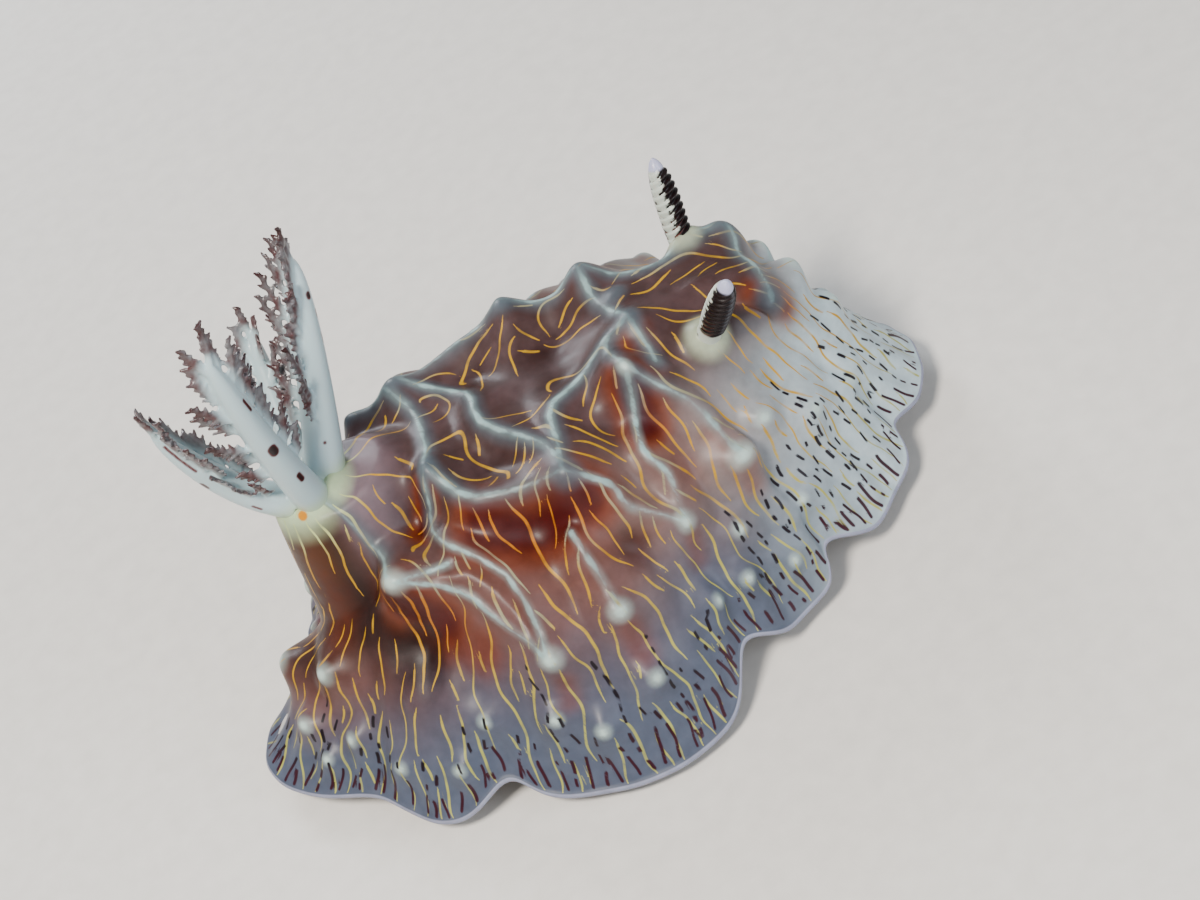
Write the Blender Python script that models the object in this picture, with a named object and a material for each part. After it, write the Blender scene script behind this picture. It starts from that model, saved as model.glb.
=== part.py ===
"""A dorid sea slug, Halgerda willeyi, as a still model at life size.

The mantle is a high vaulted dome with a thin, ruffled edge, and pale ridges that join rows of
tubercles. Two rhinophores with stacked leaflets stand near the head, and four gill plumes rise from
a raised pocket near the tail. Under the mantle are the foot, the head and two oral tentacles.

Frame: +X to the head, +Y to the animal's left, +Z up, origin on the floor under the foot's middle.
Sizes below are in millimetres, and the meshes are made in metres.
"""

import math
import random

import bmesh
import bpy
import numpy as np
from mathutils import Vector

MM = 0.001
GAP = 0.3
SEED = 7
CREASE_ANGLE = 50

# Mantle, seen from above: how far it reaches from the origin on each side.
REACH_FRONT = 30.0
REACH_REAR = 31.0
REACH_RIGHT = 23.5
REACH_LEFT = 23.0
OUTLINE_POWER = 2.12
SPINE_FRONT = 17.0
SPINE_REAR = -14.5
BACK_HEIGHT = 21.5
RIM_HEIGHT = 1.7
RIM_END_LIFT = 0.8
RIM_THICK = 0.6

# How the back falls from the spine to the rim: a low power falls early, a high one late.
FALL_SIDE = 3.1
FALL_FRONT = 2.0
FALL_REAR = 0.95
FALL_EASE = 1.3

# How far a straight run between two points of the back may lie inside it and still count as on it.
RUN_DEPTH = 2.0

# Within this share of the spine the way out of the skin turns to straight up, so both sides meet.
SPINE_BLEND = 0.08

# The relief fades out over this last share before the rim.
RIM_FADE = 0.06

# Tubercles are blunt cones and ridges are drawn up to a crest, like cloth over poles: the lower the
# power, the sharper the top and the more hollow the flanks. Both are spread beyond their listed radius
# and height, their tops are rounded, and they are blended by a high power where they meet.
TUBERCLE_POWER = 1.5
RIDGE_POWER = 1.1
HOLLOW_POWER = 2.4
SPREAD = 1.3
RAISE = 1.1
CREST_ROUND = 0.3
MEETING_POWER = 4.0

# Straight runs that stand for the curve of a ridge between two of its points.
RUNS_PER_SPAN = 3

# Ruffles of the edge: angle from the head, width of the ruffle, outward and upward shift.
RUFFLES = (
    (-169, 15, 2.8, 0.5),
    (-146, 8, -0.6, 0.8),
    (-131, 9, 1.0, -0.2),
    (-121, 5, -1.6, 1.8),
    (-96, 15, 2.2, -0.4),
    (-76, 6, -2.6, 2.6),
    (-63, 9, -2.6, 0.0),
    (-51, 5, -2.8, 2.2),
    (-40, 12, -1.6, 0.0),
    (-21, 5, -1.8, 1.2),
    (-1, 14, 2.2, 0.6),
    (24, 9, 1.0, 0.0),
    (40, 6, -1.4, 1.8),
    (62, 12, 1.2, -0.2),
    (82, 6, -1.6, 2.0),
    (104, 13, 1.4, -0.3),
    (127, 6, -1.6, 2.0),
    (148, 11, -2.6, -0.4),
    (166, 10, -3.8, -0.4),
)
FOLD_COUNT = 46
FOLD_HEIGHT = 0.18
FOLD_START = 0.5
FOLD_RAMP = 0.42

# Tubercles: angle from the head, share of the way from spine to rim, height, radius.
# These are the ones that the right side shows. The left side has its own rows.
RIGHT_TUBERCLES = {
    "crown": (-50, 0.09, 2.0, 2.0),
    "shoulder_front": (-64, 0.28, 2.9, 1.9),
    "shoulder_mid": (-89, 0.41, 2.4, 2.2),
    "shoulder_rear": (-118, 0.20, 2.4, 1.7),
    "hip": (-129, 0.44, 2.6, 1.5),
    "flank_front": (-74, 0.71, 1.7, 1.5),
    "flank_mid": (-92, 0.71, 1.8, 1.5),
    "flank_rear": (-104, 0.73, 2.2, 1.6),
    "cheek": (-57, 0.65, 1.9, 1.6),
    "cheek_upper": (-46, 0.62, 1.3, 1.2),
    "brow": (-16, 0.40, 1.9, 2.3),
    "brow_low": (-36, 0.69, 1.1, 1.3),
    "tail_mid": (-176, 0.62, 2.2, 1.5),
    "tail_side": (-156, 0.59, 2.0, 1.5),
    "tail_low": (-162, 0.75, 1.4, 1.2),
}
LEFT_TUBERCLES = {
    "crown": (52, 0.12, 1.6, 1.9),
    "shoulder_front": (62, 0.27, 2.9, 1.9),
    "shoulder_mid": (82, 0.34, 2.9, 2.1),
    "shoulder_rear": (113, 0.28, 2.4, 1.8),
    "hip": (125, 0.36, 2.3, 1.5),
    "flank_front": (70, 0.69, 1.7, 1.5),
    "flank_mid": (90, 0.72, 1.8, 1.5),
    "flank_rear": (106, 0.71, 2.0, 1.6),
    "cheek": (54, 0.64, 1.7, 1.6),
    "cheek_upper": (42, 0.60, 1.4, 1.3),
    "brow": (25, 0.40, 3.4, 1.9),
    "brow_low": (21, 0.52, 2.4, 1.5),
    "nose": (4, 0.50, 2.0, 1.4),
    "tail_side": (158, 0.60, 2.0, 1.5),
    "tail_low": (164, 0.76, 1.4, 1.2),
}

# Small rounded tubercles near the edge: angle, share, height, radius.
EDGE_TUBERCLES = (
    (-66, 0.77, 1.0, 1.2),
    (-70, 0.86, 0.9, 1.1),
    (-60, 0.89, 0.8, 1.0),
    (-50, 0.86, 1.0, 1.1),
    (-77, 0.88, 0.9, 1.1),
    (-92, 0.84, 1.2, 1.2),
    (-102, 0.88, 1.0, 1.1),
    (-108, 0.84, 1.0, 1.1),
    (-121, 0.85, 1.0, 1.1),
    (-127, 0.89, 0.8, 1.0),
    (-138, 0.87, 0.9, 1.0),
    (-150, 0.81, 1.0, 1.1),
    (-156, 0.86, 0.8, 1.0),
    (-20, 0.78, 0.9, 1.1),
    (-2, 0.64, 1.0, 1.2),
    (16, 0.80, 0.9, 1.1),
    (36, 0.82, 0.9, 1.1),
    (56, 0.86, 1.0, 1.1),
    (68, 0.84, 1.0, 1.1),
    (80, 0.87, 0.9, 1.1),
    (96, 0.85, 1.1, 1.2),
    (110, 0.87, 1.0, 1.1),
    (124, 0.84, 1.0, 1.1),
    (138, 0.86, 0.9, 1.0),
    (152, 0.83, 1.0, 1.1),
    (174, 0.84, 0.9, 1.1),
)

# Hollows between the ridges: angle, share, depth, radius.
HOLLOWS = (
    (-124, 0.30, 1.7, 1.9),
    (-98, 0.47, 1.4, 2.6),
    (-70, 0.39, 1.2, 2.2),
    (-130, 0.60, 1.8, 3.2),
    (-84, 0.64, 0.8, 2.0),
    (-103, 0.22, 0.8, 2.6),
    (-75, 0.12, 0.8, 2.4),
    (-30, 0.52, 0.7, 2.6),
    (103, 0.44, 1.3, 2.6),
    (72, 0.42, 1.2, 2.2),
    (130, 0.56, 1.6, 3.0),
    (84, 0.62, 0.8, 2.0),
    (100, 0.16, 0.8, 2.4),
    (76, 0.14, 0.8, 2.4),
    (-150, 0.34, 1.2, 3.0),
    (150, 0.34, 1.2, 3.0),
)

# Ridges run through these points, each an angle and a share: height, half width, points.
RIDGES = (
    (1.7, 1.3, ((-118, 0.20), (-107, 0.34), (-89, 0.41))),
    (1.3, 1.2, ((-89, 0.41), (-90, 0.29), (-102, 0.09), (102, 0.09), (112, 0.29))),
    (1.2, 1.2, ((115, 0.30), (117, 0.11), (-118, 0.20))),
    (1.2, 1.2, ((-89, 0.41), (-87, 0.31), (-83, 0.18), (-60, 0.09))),
    (1.2, 1.0, ((-118, 0.20), (-121, 0.37), (-106, 0.55), (-104, 0.73))),
    (1.2, 1.0, ((-129, 0.44), (-116, 0.55), (-111, 0.62), (-104, 0.73))),
    (1.1, 1.0, ((-129, 0.44), (-117, 0.48))),
    (1.1, 1.2, ((-165, 0.12), (-135, 0.33), (-129, 0.44))),
    (1.2, 1.0, ((-93, 0.53), (-92, 0.65), (-92, 0.71))),
    (1.2, 1.0, ((-89, 0.41), (-83, 0.50), (-82, 0.58), (-74, 0.71))),
    (1.2, 1.0, ((-64, 0.28), (-72, 0.50), (-71, 0.59), (-74, 0.71))),
    (1.3, 1.2, ((-64, 0.28), (-62, 0.11), (-50, 0.09))),
    (1.0, 1.2, ((-64, 0.28), (-57, 0.45), (-57, 0.65))),
    (1.0, 1.2, ((-50, 0.09), (-56, 0.30))),
    (1.7, 1.3, ((125, 0.36), (113, 0.28), (96, 0.31), (82, 0.34), (70, 0.27), (62, 0.27))),
    (1.2, 1.2, ((62, 0.27), (58, 0.12), (-50, 0.09))),
    (1.4, 1.3, ((62, 0.27), (44, 0.24), (30, 0.30), (25, 0.40))),
    (1.3, 1.2, ((25, 0.40), (4, 0.32), (-16, 0.40))),
    (1.2, 1.0, ((25, 0.40), (21, 0.52), (4, 0.50))),
    (1.2, 1.0, ((82, 0.34), (86, 0.52), (90, 0.72))),
    (1.2, 1.0, ((82, 0.34), (76, 0.52), (70, 0.69))),
    (1.2, 1.0, ((113, 0.28), (110, 0.50), (106, 0.71))),
    (1.2, 1.0, ((62, 0.27), (58, 0.48), (54, 0.64))),
    (1.1, 1.2, ((170, 0.14), (140, 0.32), (125, 0.36))),
)

# Gill pocket: a turret on the rear of the back, with steep walls, a sloping top and a well in it. Its
# top reaches further to the front, by as much as the apron is below 1.
TURRET_CENTRE = (-16.7, 0.3)
TURRET_TOP = 23.2
TURRET_SLOPE = 0.12
TURRET_INNER = 3.6
TURRET_OUTER = 6.2
TURRET_APRON = 0.62
TRUNK_BASE = (-17.0, 0.3, 21.4)
TRUNK_LEAN = (-0.12, 0.02, 1.0)
TRUNK_RADIUS = 2.5
TRUNK_HEIGHT = 3.2

# Underside of the mantle edge, and the flat level that the body ends on above the foot.
SKIRT_WIDTH = 7.0
BELLY_LEVEL = 6.0

# Rows of the back crowd to its steep flanks: a power below 1 does that.
MANTLE_COLUMNS = 116
BACK_ROWS = 24
ROW_CROWDING = 0.8
SKIRT_ROWS = 4
MANTLE_CUTS = (10.6, -10.4)

# Foot: half width along its length, and its levels above the sole with the width at each.
FOOT_FRONT = 18.5
FOOT_REAR = -24.0
FOOT_HALF_WIDTH = 9.0
FOOT_WIDEST = 0.72
FOOT_BLUNT = 0.55
FOOT_LEVELS = ((0.7, 0.99), (2.4, 0.87), (BELLY_LEVEL - GAP, 0.92))
FOOT_COLUMNS = 48

# Head below the front of the mantle, parted from the foot at one plane.
HEAD_CENTRE = (18.4, 0.0, 3.1)
HEAD_SIZE = (5.0, 4.7, 2.9)
HEAD_CROWDING = 1.3
HEAD_BACK = 15.4
MOUTH_DEPTH = 0.9
MOUTH_HALF_WIDTH = 0.4
MOUTH_HALF_HEIGHT = 1.1
LIP_HEIGHT = 0.5
LIP_RADIUS = 1.5
LIP_WIDTH = 0.6
LIP_STRETCH = 1.3
TENTACLE_ROOT = (21.6, 2.9, 2.9)
TENTACLE_MIDDLE = (23.6, 4.3, 2.9)
TENTACLE_TIP = (25.2, 4.9, 2.4)
TENTACLE_RADIUS = 0.6
TENTACLE_TAPER = 0.35
TENTACLE_WELL = 3.0

# Rhinophores: where each is rooted and where its tip is.
RHINOPHORES = {
    "rhinophore_right": ((16.0, -4.5, 19.4), (19.5, -8.5, 27.6)),
    "rhinophore_left": ((18.5, 4.7, 18.2), (20.3, 8.0, 28.4)),
}
RHINOPHORE_STALK = 0.95
RHINOPHORE_CLUB = 1.05
CLUB_START = 0.25
CLUB_FULL = 0.45
CLUB_TAPER_START = 0.6
WELL_DEPTH = 6.0
WELL_SIDES = 24
LEAF_COUNT = 9
LEAF_START = 0.3
LEAF_END = 0.94
LEAF_DEPTH = 0.32
LEAF_SLANT = 0.6

# Gill plumes: root, middle, tip and root radius of each stem. The trunk holds the first stretch.
PLUMES = {
    "gill_plume_front": ((-15.4, 0.8, 23.6), (-11.5, 3.8, 31.8), (-8.3, 6.2, 39.8), 1.7),
    "gill_plume_right": ((-17.0, -1.2, 24.0), (-17.3, -3.3, 34.2), (-17.0, -4.0, 43.2), 1.5),
    "gill_plume_rear": ((-18.6, -0.4, 24.2), (-22.1, 0.2, 28.9), (-24.4, 0.7, 36.6), 1.5),
    "gill_plume_left": ((-16.8, 1.8, 23.6), (-15.8, 6.2, 28.6), (-14.6, 9.4, 33.2), 1.2),
}
STUB_LENGTH = 4.2

PLUME_TAPER = 0.55

# Filaments of each plume: the side that the two rows open to, the angle from it to either row, how
# many there are, and the length of the longest.
FILAMENTS = {
    "gill_plume_front": ((-1.0, -0.2, 0.0), 50, 24, 4.4),
    "gill_plume_right": ((-0.3, 1.0, 0.0), 78, 22, 4.0),
    "gill_plume_rear": ((0.6, 0.1, 0.8), 62, 18, 3.8),
    "gill_plume_left": ((-0.4, -0.6, 0.4), 60, 12, 3.0),
}
FILAMENT_ROOT_RADIUS = 0.36
FILAMENT_TIP_RADIUS = 0.13
FILAMENT_SPAN = (0.12, 0.97)
FILAMENT_LEAN = (28, 76)
FILAMENT_CURVE = 0.22
FILAMENT_SUNK = 0.35

FLESH = {
    "mantle": ("#8d7f86", 0.35),
    "foot": ("#b9b3ad", 0.4),
    "head": ("#b9b0a6", 0.4),
    "rhinophore": ("#2a1114", 0.35),
    "gill": ("#ccd4da", 0.35),
}


def clear_scene():
    for obj in list(bpy.data.objects):
        bpy.data.objects.remove(obj)


def linear(hex_colour):
    """The linear colour of an sRGB hex value."""
    channels = [int(hex_colour[i : i + 2], 16) / 255 for i in (1, 3, 5)]
    return [c / 12.92 if c <= 0.04045 else ((c + 0.055) / 1.055) ** 2.4 for c in channels] + [1.0]


def flesh_material(kind):
    material = bpy.data.materials.get(kind) or bpy.data.materials.new(kind)
    material.use_nodes = True
    shader = material.node_tree.nodes["Principled BSDF"]
    colour, roughness = FLESH[kind]
    shader.inputs["Base Color"].default_value = linear(colour)
    shader.inputs["Roughness"].default_value = roughness
    shader.inputs["Metallic"].default_value = 0.0
    return material


def turn(angle):
    """Wraps an angle to half a turn either way."""
    return (angle + np.pi) % (2 * np.pi) - np.pi


def rim(theta):
    """The edge of the mantle at each angle: an oval, with its ruffles pushed out or up."""
    c = np.cos(theta)
    s = np.sin(theta)
    reach_x = np.where(c > 0, REACH_FRONT, REACH_REAR)
    reach_y = np.where(s > 0, REACH_LEFT, REACH_RIGHT)
    radius = (np.abs(c) ** OUTLINE_POWER + np.abs(s) ** OUTLINE_POWER) ** (-1 / OUTLINE_POWER)
    x = reach_x * radius * c
    y = reach_y * radius * s
    z = RIM_HEIGHT + RIM_END_LIFT * c**2
    outward = np.zeros_like(theta)
    for angle, width, push, lift in RUFFLES:
        share = np.exp(-((turn(theta - math.radians(angle)) / math.radians(width)) ** 2))
        outward = outward + push * share
        z = z + lift * share
    grow = 1 + outward / np.hypot(x, y)
    return x * grow, y * grow, z


def spine(theta):
    """The point of the spine that the column at this angle starts from."""
    half = (SPINE_FRONT - SPINE_REAR) / 2
    return (SPINE_FRONT + SPINE_REAR) / 2 + half * np.cos(theta)


def back(theta, share):
    """The smooth back, from the spine at share 0 to the rim at share 1."""
    x1, y1, z1 = rim(theta)
    x0 = spine(theta)
    c = np.cos(theta)
    ends = (FALL_FRONT + FALL_REAR) / 2 + (FALL_FRONT - FALL_REAR) / 2 * c
    power = FALL_SIDE * (1 - c**2) + ends * c**2
    fall = np.clip(1 - share**power, 0, 1) ** FALL_EASE
    x = x0 + (x1 - x0) * share
    y = y1 * share
    z = z1 + (BACK_HEIGHT - z1) * fall
    return np.stack([x, y, z], -1)


def back_normal(theta, share):
    """The direction out of the smooth back, by small steps along and across it."""
    step = 1e-3
    inner = np.clip(share, 0.02, 0.97)
    across = back(theta, inner + step) - back(theta, inner - step)
    along = back(theta + step, inner) - back(theta - step, inner)
    normal = np.cross(across, along)
    normal = normal / np.linalg.norm(normal, axis=-1, keepdims=True)
    tilt = np.clip(share / SPINE_BLEND, 0, 1)[..., None]
    normal = normal * tilt + np.array([0.0, 0.0, 1.0]) * (1 - tilt)
    return normal / np.linalg.norm(normal, axis=-1, keepdims=True)


def station(angle, share):
    return back(np.array([math.radians(angle)]), np.array([share]))[0]


def distance_to_run(points, normals, start, end):
    """How far each point is from a straight run, measured along the surface there.

    A run between two stations lies a little below the curved back, so depth up to RUN_DEPTH is free.
    """
    run = end - start
    length = max(run @ run, 1e-9)
    share = np.clip(((points - start) @ run) / length, 0, 1)
    away = points - (start + share[:, None] * run)
    depth = np.sum(away * normals, -1, keepdims=True)
    flat = np.linalg.norm(away - normals * depth, axis=-1)
    return np.hypot(flat, np.clip(np.abs(depth[:, 0]) - RUN_DEPTH, 0, None))


def curved(stops):
    """More points between the stops of a ridge, on a smooth curve through all of them."""
    ends = [2 * stops[0] - stops[1]] + stops + [2 * stops[-1] - stops[-2]]
    points = [stops[0]]
    for a, b, c, d in zip(ends, ends[1:], ends[2:], ends[3:]):
        for index in range(1, RUNS_PER_SPAN + 1):
            t = index / RUNS_PER_SPAN
            bend = (2 * a - 5 * b + 4 * c - d) * t**2 + (3 * b - a - 3 * c + d) * t**3
            points.append(b + 0.5 * ((c - a) * t + bend))
    return points


def bump(distance, height, radius, power):
    """A rise that falls away with the distance from its top or crest."""
    return height * np.exp(-((distance / radius) ** power))


def tent(distance, height, radius, power):
    """A rise like cloth over a pole or a rope: a small round crest, and flanks that sag."""
    rounded = np.hypot(distance, CREST_ROUND) - CREST_ROUND
    return bump(rounded, height * RAISE, radius * SPREAD, power)


def relief(theta, share, points, normals):
    """How far the skin stands out from the smooth back."""
    raised = np.zeros(len(points))
    marks = list(RIGHT_TUBERCLES.values()) + list(LEFT_TUBERCLES.values()) + list(EDGE_TUBERCLES)
    for angle, place, height, radius in marks:
        spot = station(angle, place)
        away = distance_to_run(points, normals, spot, spot)
        raised = raised + tent(away, height, radius, TUBERCLE_POWER) ** MEETING_POWER
    for height, width, places in RIDGES:
        stops = curved([station(angle, place) for angle, place in places])
        runs = [distance_to_run(points, normals, start, end) for start, end in zip(stops, stops[1:])]
        raised = raised + tent(np.min(runs, axis=0), height, width, RIDGE_POWER) ** MEETING_POWER
    lift = raised ** (1 / MEETING_POWER)
    for angle, place, depth, radius in HOLLOWS:
        spot = station(angle, place)
        away = distance_to_run(points, normals, spot, spot)
        lift = lift - bump(away, depth, radius, HOLLOW_POWER)
    folds = np.clip((share - FOLD_START) / FOLD_RAMP, 0, 1)
    return lift + FOLD_HEIGHT * np.cos(FOLD_COUNT * theta) * folds


def turret(points):
    """Lifts the points near the gill pocket to the turret's top."""
    ahead = points[:, 0] - TURRET_CENTRE[0]
    shortened = np.where(ahead > 0, ahead * TURRET_APRON, ahead)
    away = np.hypot(shortened, points[:, 1] - TURRET_CENTRE[1])
    share = np.clip((TURRET_OUTER - away) / (TURRET_OUTER - TURRET_INNER), 0, 1)
    share = share**2 * (3 - 2 * share)
    rise = np.clip(TURRET_TOP + TURRET_SLOPE * ahead - points[:, 2], 0, None)
    raised = points.copy()
    raised[:, 2] += rise * share
    return raised


def skin(theta, share):
    """The back with its tubercles, ridges, hollows and turret."""
    points = back(theta, share)
    normals = back_normal(theta, share)
    fade = np.clip((1 - share) / RIM_FADE, 0, 1)
    return turret(points + normals * (relief(theta, share, points, normals) * fade)[:, None])


def skirt(theta, share):
    """The underside of the edge, from the rim at share 0 to the belly level at share 1."""
    x1, y1, z1 = rim(theta)
    x0 = spine(theta)
    width = np.hypot(x1 - x0, y1)
    inward = 1 - share * SKIRT_WIDTH / width
    low = z1 - RIM_THICK
    z = low + (BELLY_LEVEL - low) * np.sin(share * np.pi / 2)
    return np.stack([x0 + (x1 - x0) * inward, y1 * inward, z], -1)


def mapped_grid(columns, rows, place):
    """A closed mesh: a flat grid, wrapped round and drawn shut at both ends by a place function.

    The function takes two arrays, how far round and how far along, both from 0 to 1.
    """
    mesh = bmesh.new()
    bmesh.ops.create_grid(mesh, x_segments=columns, y_segments=rows, size=0.5)
    flat = np.array([vert.co for vert in mesh.verts]) + 0.5
    points = place(flat[:, 0], flat[:, 1])
    for vert, point in zip(mesh.verts, points):
        vert.co = Vector(point) * MM
    bmesh.ops.remove_doubles(mesh, verts=mesh.verts, dist=1e-7)
    bmesh.ops.dissolve_degenerate(mesh, edges=mesh.edges, dist=1e-7)
    bmesh.ops.recalc_face_normals(mesh, faces=mesh.faces)
    return mesh


def new_object(name, mesh, kind):
    """The named object of a finished bmesh, smooth shaded and with its material."""
    bmesh.ops.triangulate(mesh, faces=mesh.faces, quad_method="SHORT_EDGE")
    bmesh.ops.recalc_face_normals(mesh, faces=mesh.faces)
    data = bpy.data.meshes.new(name)
    mesh.to_mesh(data)
    mesh.free()
    data.shade_smooth()
    data.set_sharp_from_angle(angle=math.radians(CREASE_ANGLE))
    data.materials.append(flesh_material(kind))
    obj = bpy.data.objects.new(name, data)
    bpy.context.scene.collection.objects.link(obj)
    return obj


def mantle_point(around, along):
    """The whole mantle as one closed surface: back, rim, skirt and the flat belly level."""
    theta = (around - 0.5) * 2 * np.pi
    rows = BACK_ROWS + SKIRT_ROWS + 2
    row = np.rint(along * rows).astype(int)
    points = np.zeros((len(theta), 3))
    on_back = row <= BACK_ROWS
    points[on_back] = skin(theta[on_back], (row[on_back] / BACK_ROWS) ** ROW_CROWDING)
    on_skirt = (row > BACK_ROWS) & (row < rows)
    share = (row[on_skirt] - BACK_ROWS - 1) / SKIRT_ROWS
    points[on_skirt] = skirt(theta[on_skirt], share)
    last = row == rows
    zero = np.zeros(last.sum())
    points[last] = np.stack([spine(theta[last]), zero, zero + BELLY_LEVEL], -1)
    return points


def slice_between(mesh, low, high):
    """Keeps the part of a closed mesh between two X positions, and closes the cuts."""
    for x, side in ((low, -1), (high, 1)):
        if x is None:
            continue
        cut = bmesh.ops.bisect_plane(
            mesh,
            geom=mesh.verts[:] + mesh.edges[:] + mesh.faces[:],
            dist=1e-7,
            plane_co=(x * MM, 0, 0),
            plane_no=(side, 0, 0),
            clear_outer=True,
        )
        edges = [item for item in cut["geom_cut"] if isinstance(item, bmesh.types.BMEdge)]
        bmesh.ops.holes_fill(mesh, edges=edges, sides=0)


def cut_away(obj, cutters):
    """Takes the cutters' shapes out of the object, and removes them."""
    for cutter in cutters:
        boolean = obj.modifiers.new("cut", "BOOLEAN")
        boolean.operation = "DIFFERENCE"
        boolean.object = cutter
    apply_modifiers(obj)
    for cutter in cutters:
        bpy.data.objects.remove(cutter)


def apply_modifiers(obj):
    """Keeps the evaluated mesh as the object's own."""
    bpy.context.view_layer.update()
    graph = bpy.context.evaluated_depsgraph_get()
    data = bpy.data.meshes.new_from_object(obj.evaluated_get(graph))
    obj.modifiers.clear()
    obj.data = data


def keep_largest(obj):
    """Keeps only the largest closed surface of the object."""
    mesh = bmesh.new()
    mesh.from_mesh(obj.data)
    left = set(mesh.faces)
    shells = []
    while left:
        shell = set()
        edge_of_search = [left.pop()]
        while edge_of_search:
            face = edge_of_search.pop()
            shell.add(face)
            near = {other for edge in face.edges for other in edge.link_faces} & left
            left -= near
            edge_of_search.extend(near)
        shells.append(shell)
    shells.sort(key=lambda faces: sum(face.calc_area() for face in faces))
    for shell in shells[:-1]:
        bmesh.ops.delete(mesh, geom=list(shell), context="FACES")
    mesh.to_mesh(obj.data)
    mesh.free()


def fuse(name, pieces, kind):
    """Joins closed pieces into one object by a Boolean union, and removes the pieces."""
    first, others = pieces[0], pieces[1:]
    if others:
        group = bpy.data.collections.new(name + "_pieces")
        for piece in others:
            bpy.context.scene.collection.objects.unlink(piece)
            group.objects.link(piece)
        bpy.context.scene.collection.children.link(group)
        union = first.modifiers.new("union", "BOOLEAN")
        union.operation = "UNION"
        union.operand_type = "COLLECTION"
        union.collection = group
        apply_modifiers(first)
        for piece in others:
            bpy.data.objects.remove(piece)
        bpy.data.collections.remove(group)
    keep_largest(first)
    first.name = name
    first.data.materials.clear()
    first.data.materials.append(flesh_material(kind))
    return first


def frame_along(direction):
    """Two directions square to the given one, for setting a round section across it."""
    forward = np.array(direction, float)
    forward = forward / np.linalg.norm(forward)
    side = np.cross(forward, (0.0, 1.0, 0.0))
    if np.linalg.norm(side) < 0.2:
        side = np.cross(forward, (1.0, 0.0, 0.0))
    side = side / np.linalg.norm(side)
    return side, np.cross(forward, side)


def rod_cutter(name, start, end, radius):
    """A hidden round cutter between two points."""
    start = Vector(start) * MM
    end = Vector(end) * MM
    mesh = bmesh.new()
    bmesh.ops.create_cone(
        mesh,
        cap_ends=True,
        segments=WELL_SIDES,
        radius1=radius * MM,
        radius2=radius * MM,
        depth=(end - start).length,
    )
    turned = (end - start).to_track_quat("Z", "Y").to_matrix().to_4x4()
    bmesh.ops.transform(mesh, matrix=turned, verts=mesh.verts)
    bmesh.ops.translate(mesh, vec=(start + end) / 2, verts=mesh.verts)
    data = bpy.data.meshes.new(name)
    mesh.to_mesh(data)
    mesh.free()
    obj = bpy.data.objects.new(name, data)
    obj.hide_render = True
    obj.display_type = "WIRE"
    bpy.context.scene.collection.objects.link(obj)
    return obj


def socket_cutter(name, root, tip, radius, depth):
    """A cutter for the well that a stalk stands in, a gap wider and deeper than the stalk."""
    root = np.array(root)
    forward = np.array(tip) - root
    forward = forward / np.linalg.norm(forward)
    return rod_cutter(name, root - forward * GAP, root + forward * depth, radius + GAP)


def make_mantle():
    """The three lengths of the mantle, with wells for the rhinophores and the gills."""
    front, rear = MANTLE_CUTS
    spans = {
        "mantle_front": (front + GAP / 2, None),
        "mantle_middle": (rear + GAP / 2, front - GAP / 2),
        "mantle_rear": (None, rear - GAP / 2),
    }
    made = {}
    for name, (low, high) in spans.items():
        mesh = mapped_grid(MANTLE_COLUMNS, BACK_ROWS + SKIRT_ROWS + 2, mantle_point)
        slice_between(mesh, low, high)
        made[name] = new_object(name, mesh, "mantle")
    wells = [
        socket_cutter(name + "_well", root, tip, RHINOPHORE_STALK, WELL_DEPTH)
        for name, (root, tip) in RHINOPHORES.items()
    ]
    cut_away(made["mantle_front"], wells)
    cut_away(made["mantle_rear"], trunk_pieces(GAP))
    for obj in made.values():
        keep_largest(obj)


def stem(path, radii, columns, rows, ripple=None):
    """A closed round stem along a path function, with flat ends."""

    def place(around, along):
        row = np.rint(along * (rows + 2)).astype(int)
        share = np.clip((row - 1) / rows, 0, 1)
        ends = (row == 0) | (row == rows + 2)
        points = np.array([path(s) for s in share])
        step = 1e-3
        ahead = np.array([path(min(s + step, 1)) - path(max(s - step, 0)) for s in share])
        sides = [frame_along(direction) for direction in ahead]
        one = np.array([pair[0] for pair in sides])
        two = np.array([pair[1] for pair in sides])
        angle = around * 2 * np.pi
        size = np.array([radii(s) for s in share])
        if ripple is not None:
            size = size + ripple(angle, share)
        size = np.where(ends, 0, size)
        return points + one * (size * np.cos(angle))[:, None] + two * (size * np.sin(angle))[:, None]

    return mapped_grid(columns, rows + 2, place)


def bend_through(root, middle, tip):
    """A smooth path that starts at the root, passes the middle half way and ends at the tip."""
    a = np.array(root, float)
    b = np.array(middle, float)
    c = np.array(tip, float)

    def path(s):
        return a * (1 - s) * (1 - 2 * s) + b * 4 * s * (1 - s) + c * s * (2 * s - 1)

    return path


def straight(root, tip):
    a = np.array(root, float)
    b = np.array(tip, float)

    def path(s):
        return a + (b - a) * s

    return path


def leaf_ripple(angle, share):
    """Stacked leaflets round the club, slanted up to the front and low on its rear face.

    The angle is 0 at the rear of the club and half a turn at its front.
    """
    along = (share - LEAF_START) / (LEAF_END - LEAF_START)
    wave = -0.5 * np.cos(2 * np.pi * (along * LEAF_COUNT + LEAF_SLANT * np.cos(angle)))
    ends = np.clip(np.minimum(along, 1 - along) * LEAF_COUNT, 0, 1)
    front = np.clip(0.7 - 0.6 * np.cos(angle), 0, 1)
    return LEAF_DEPTH * wave * ends * front


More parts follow.
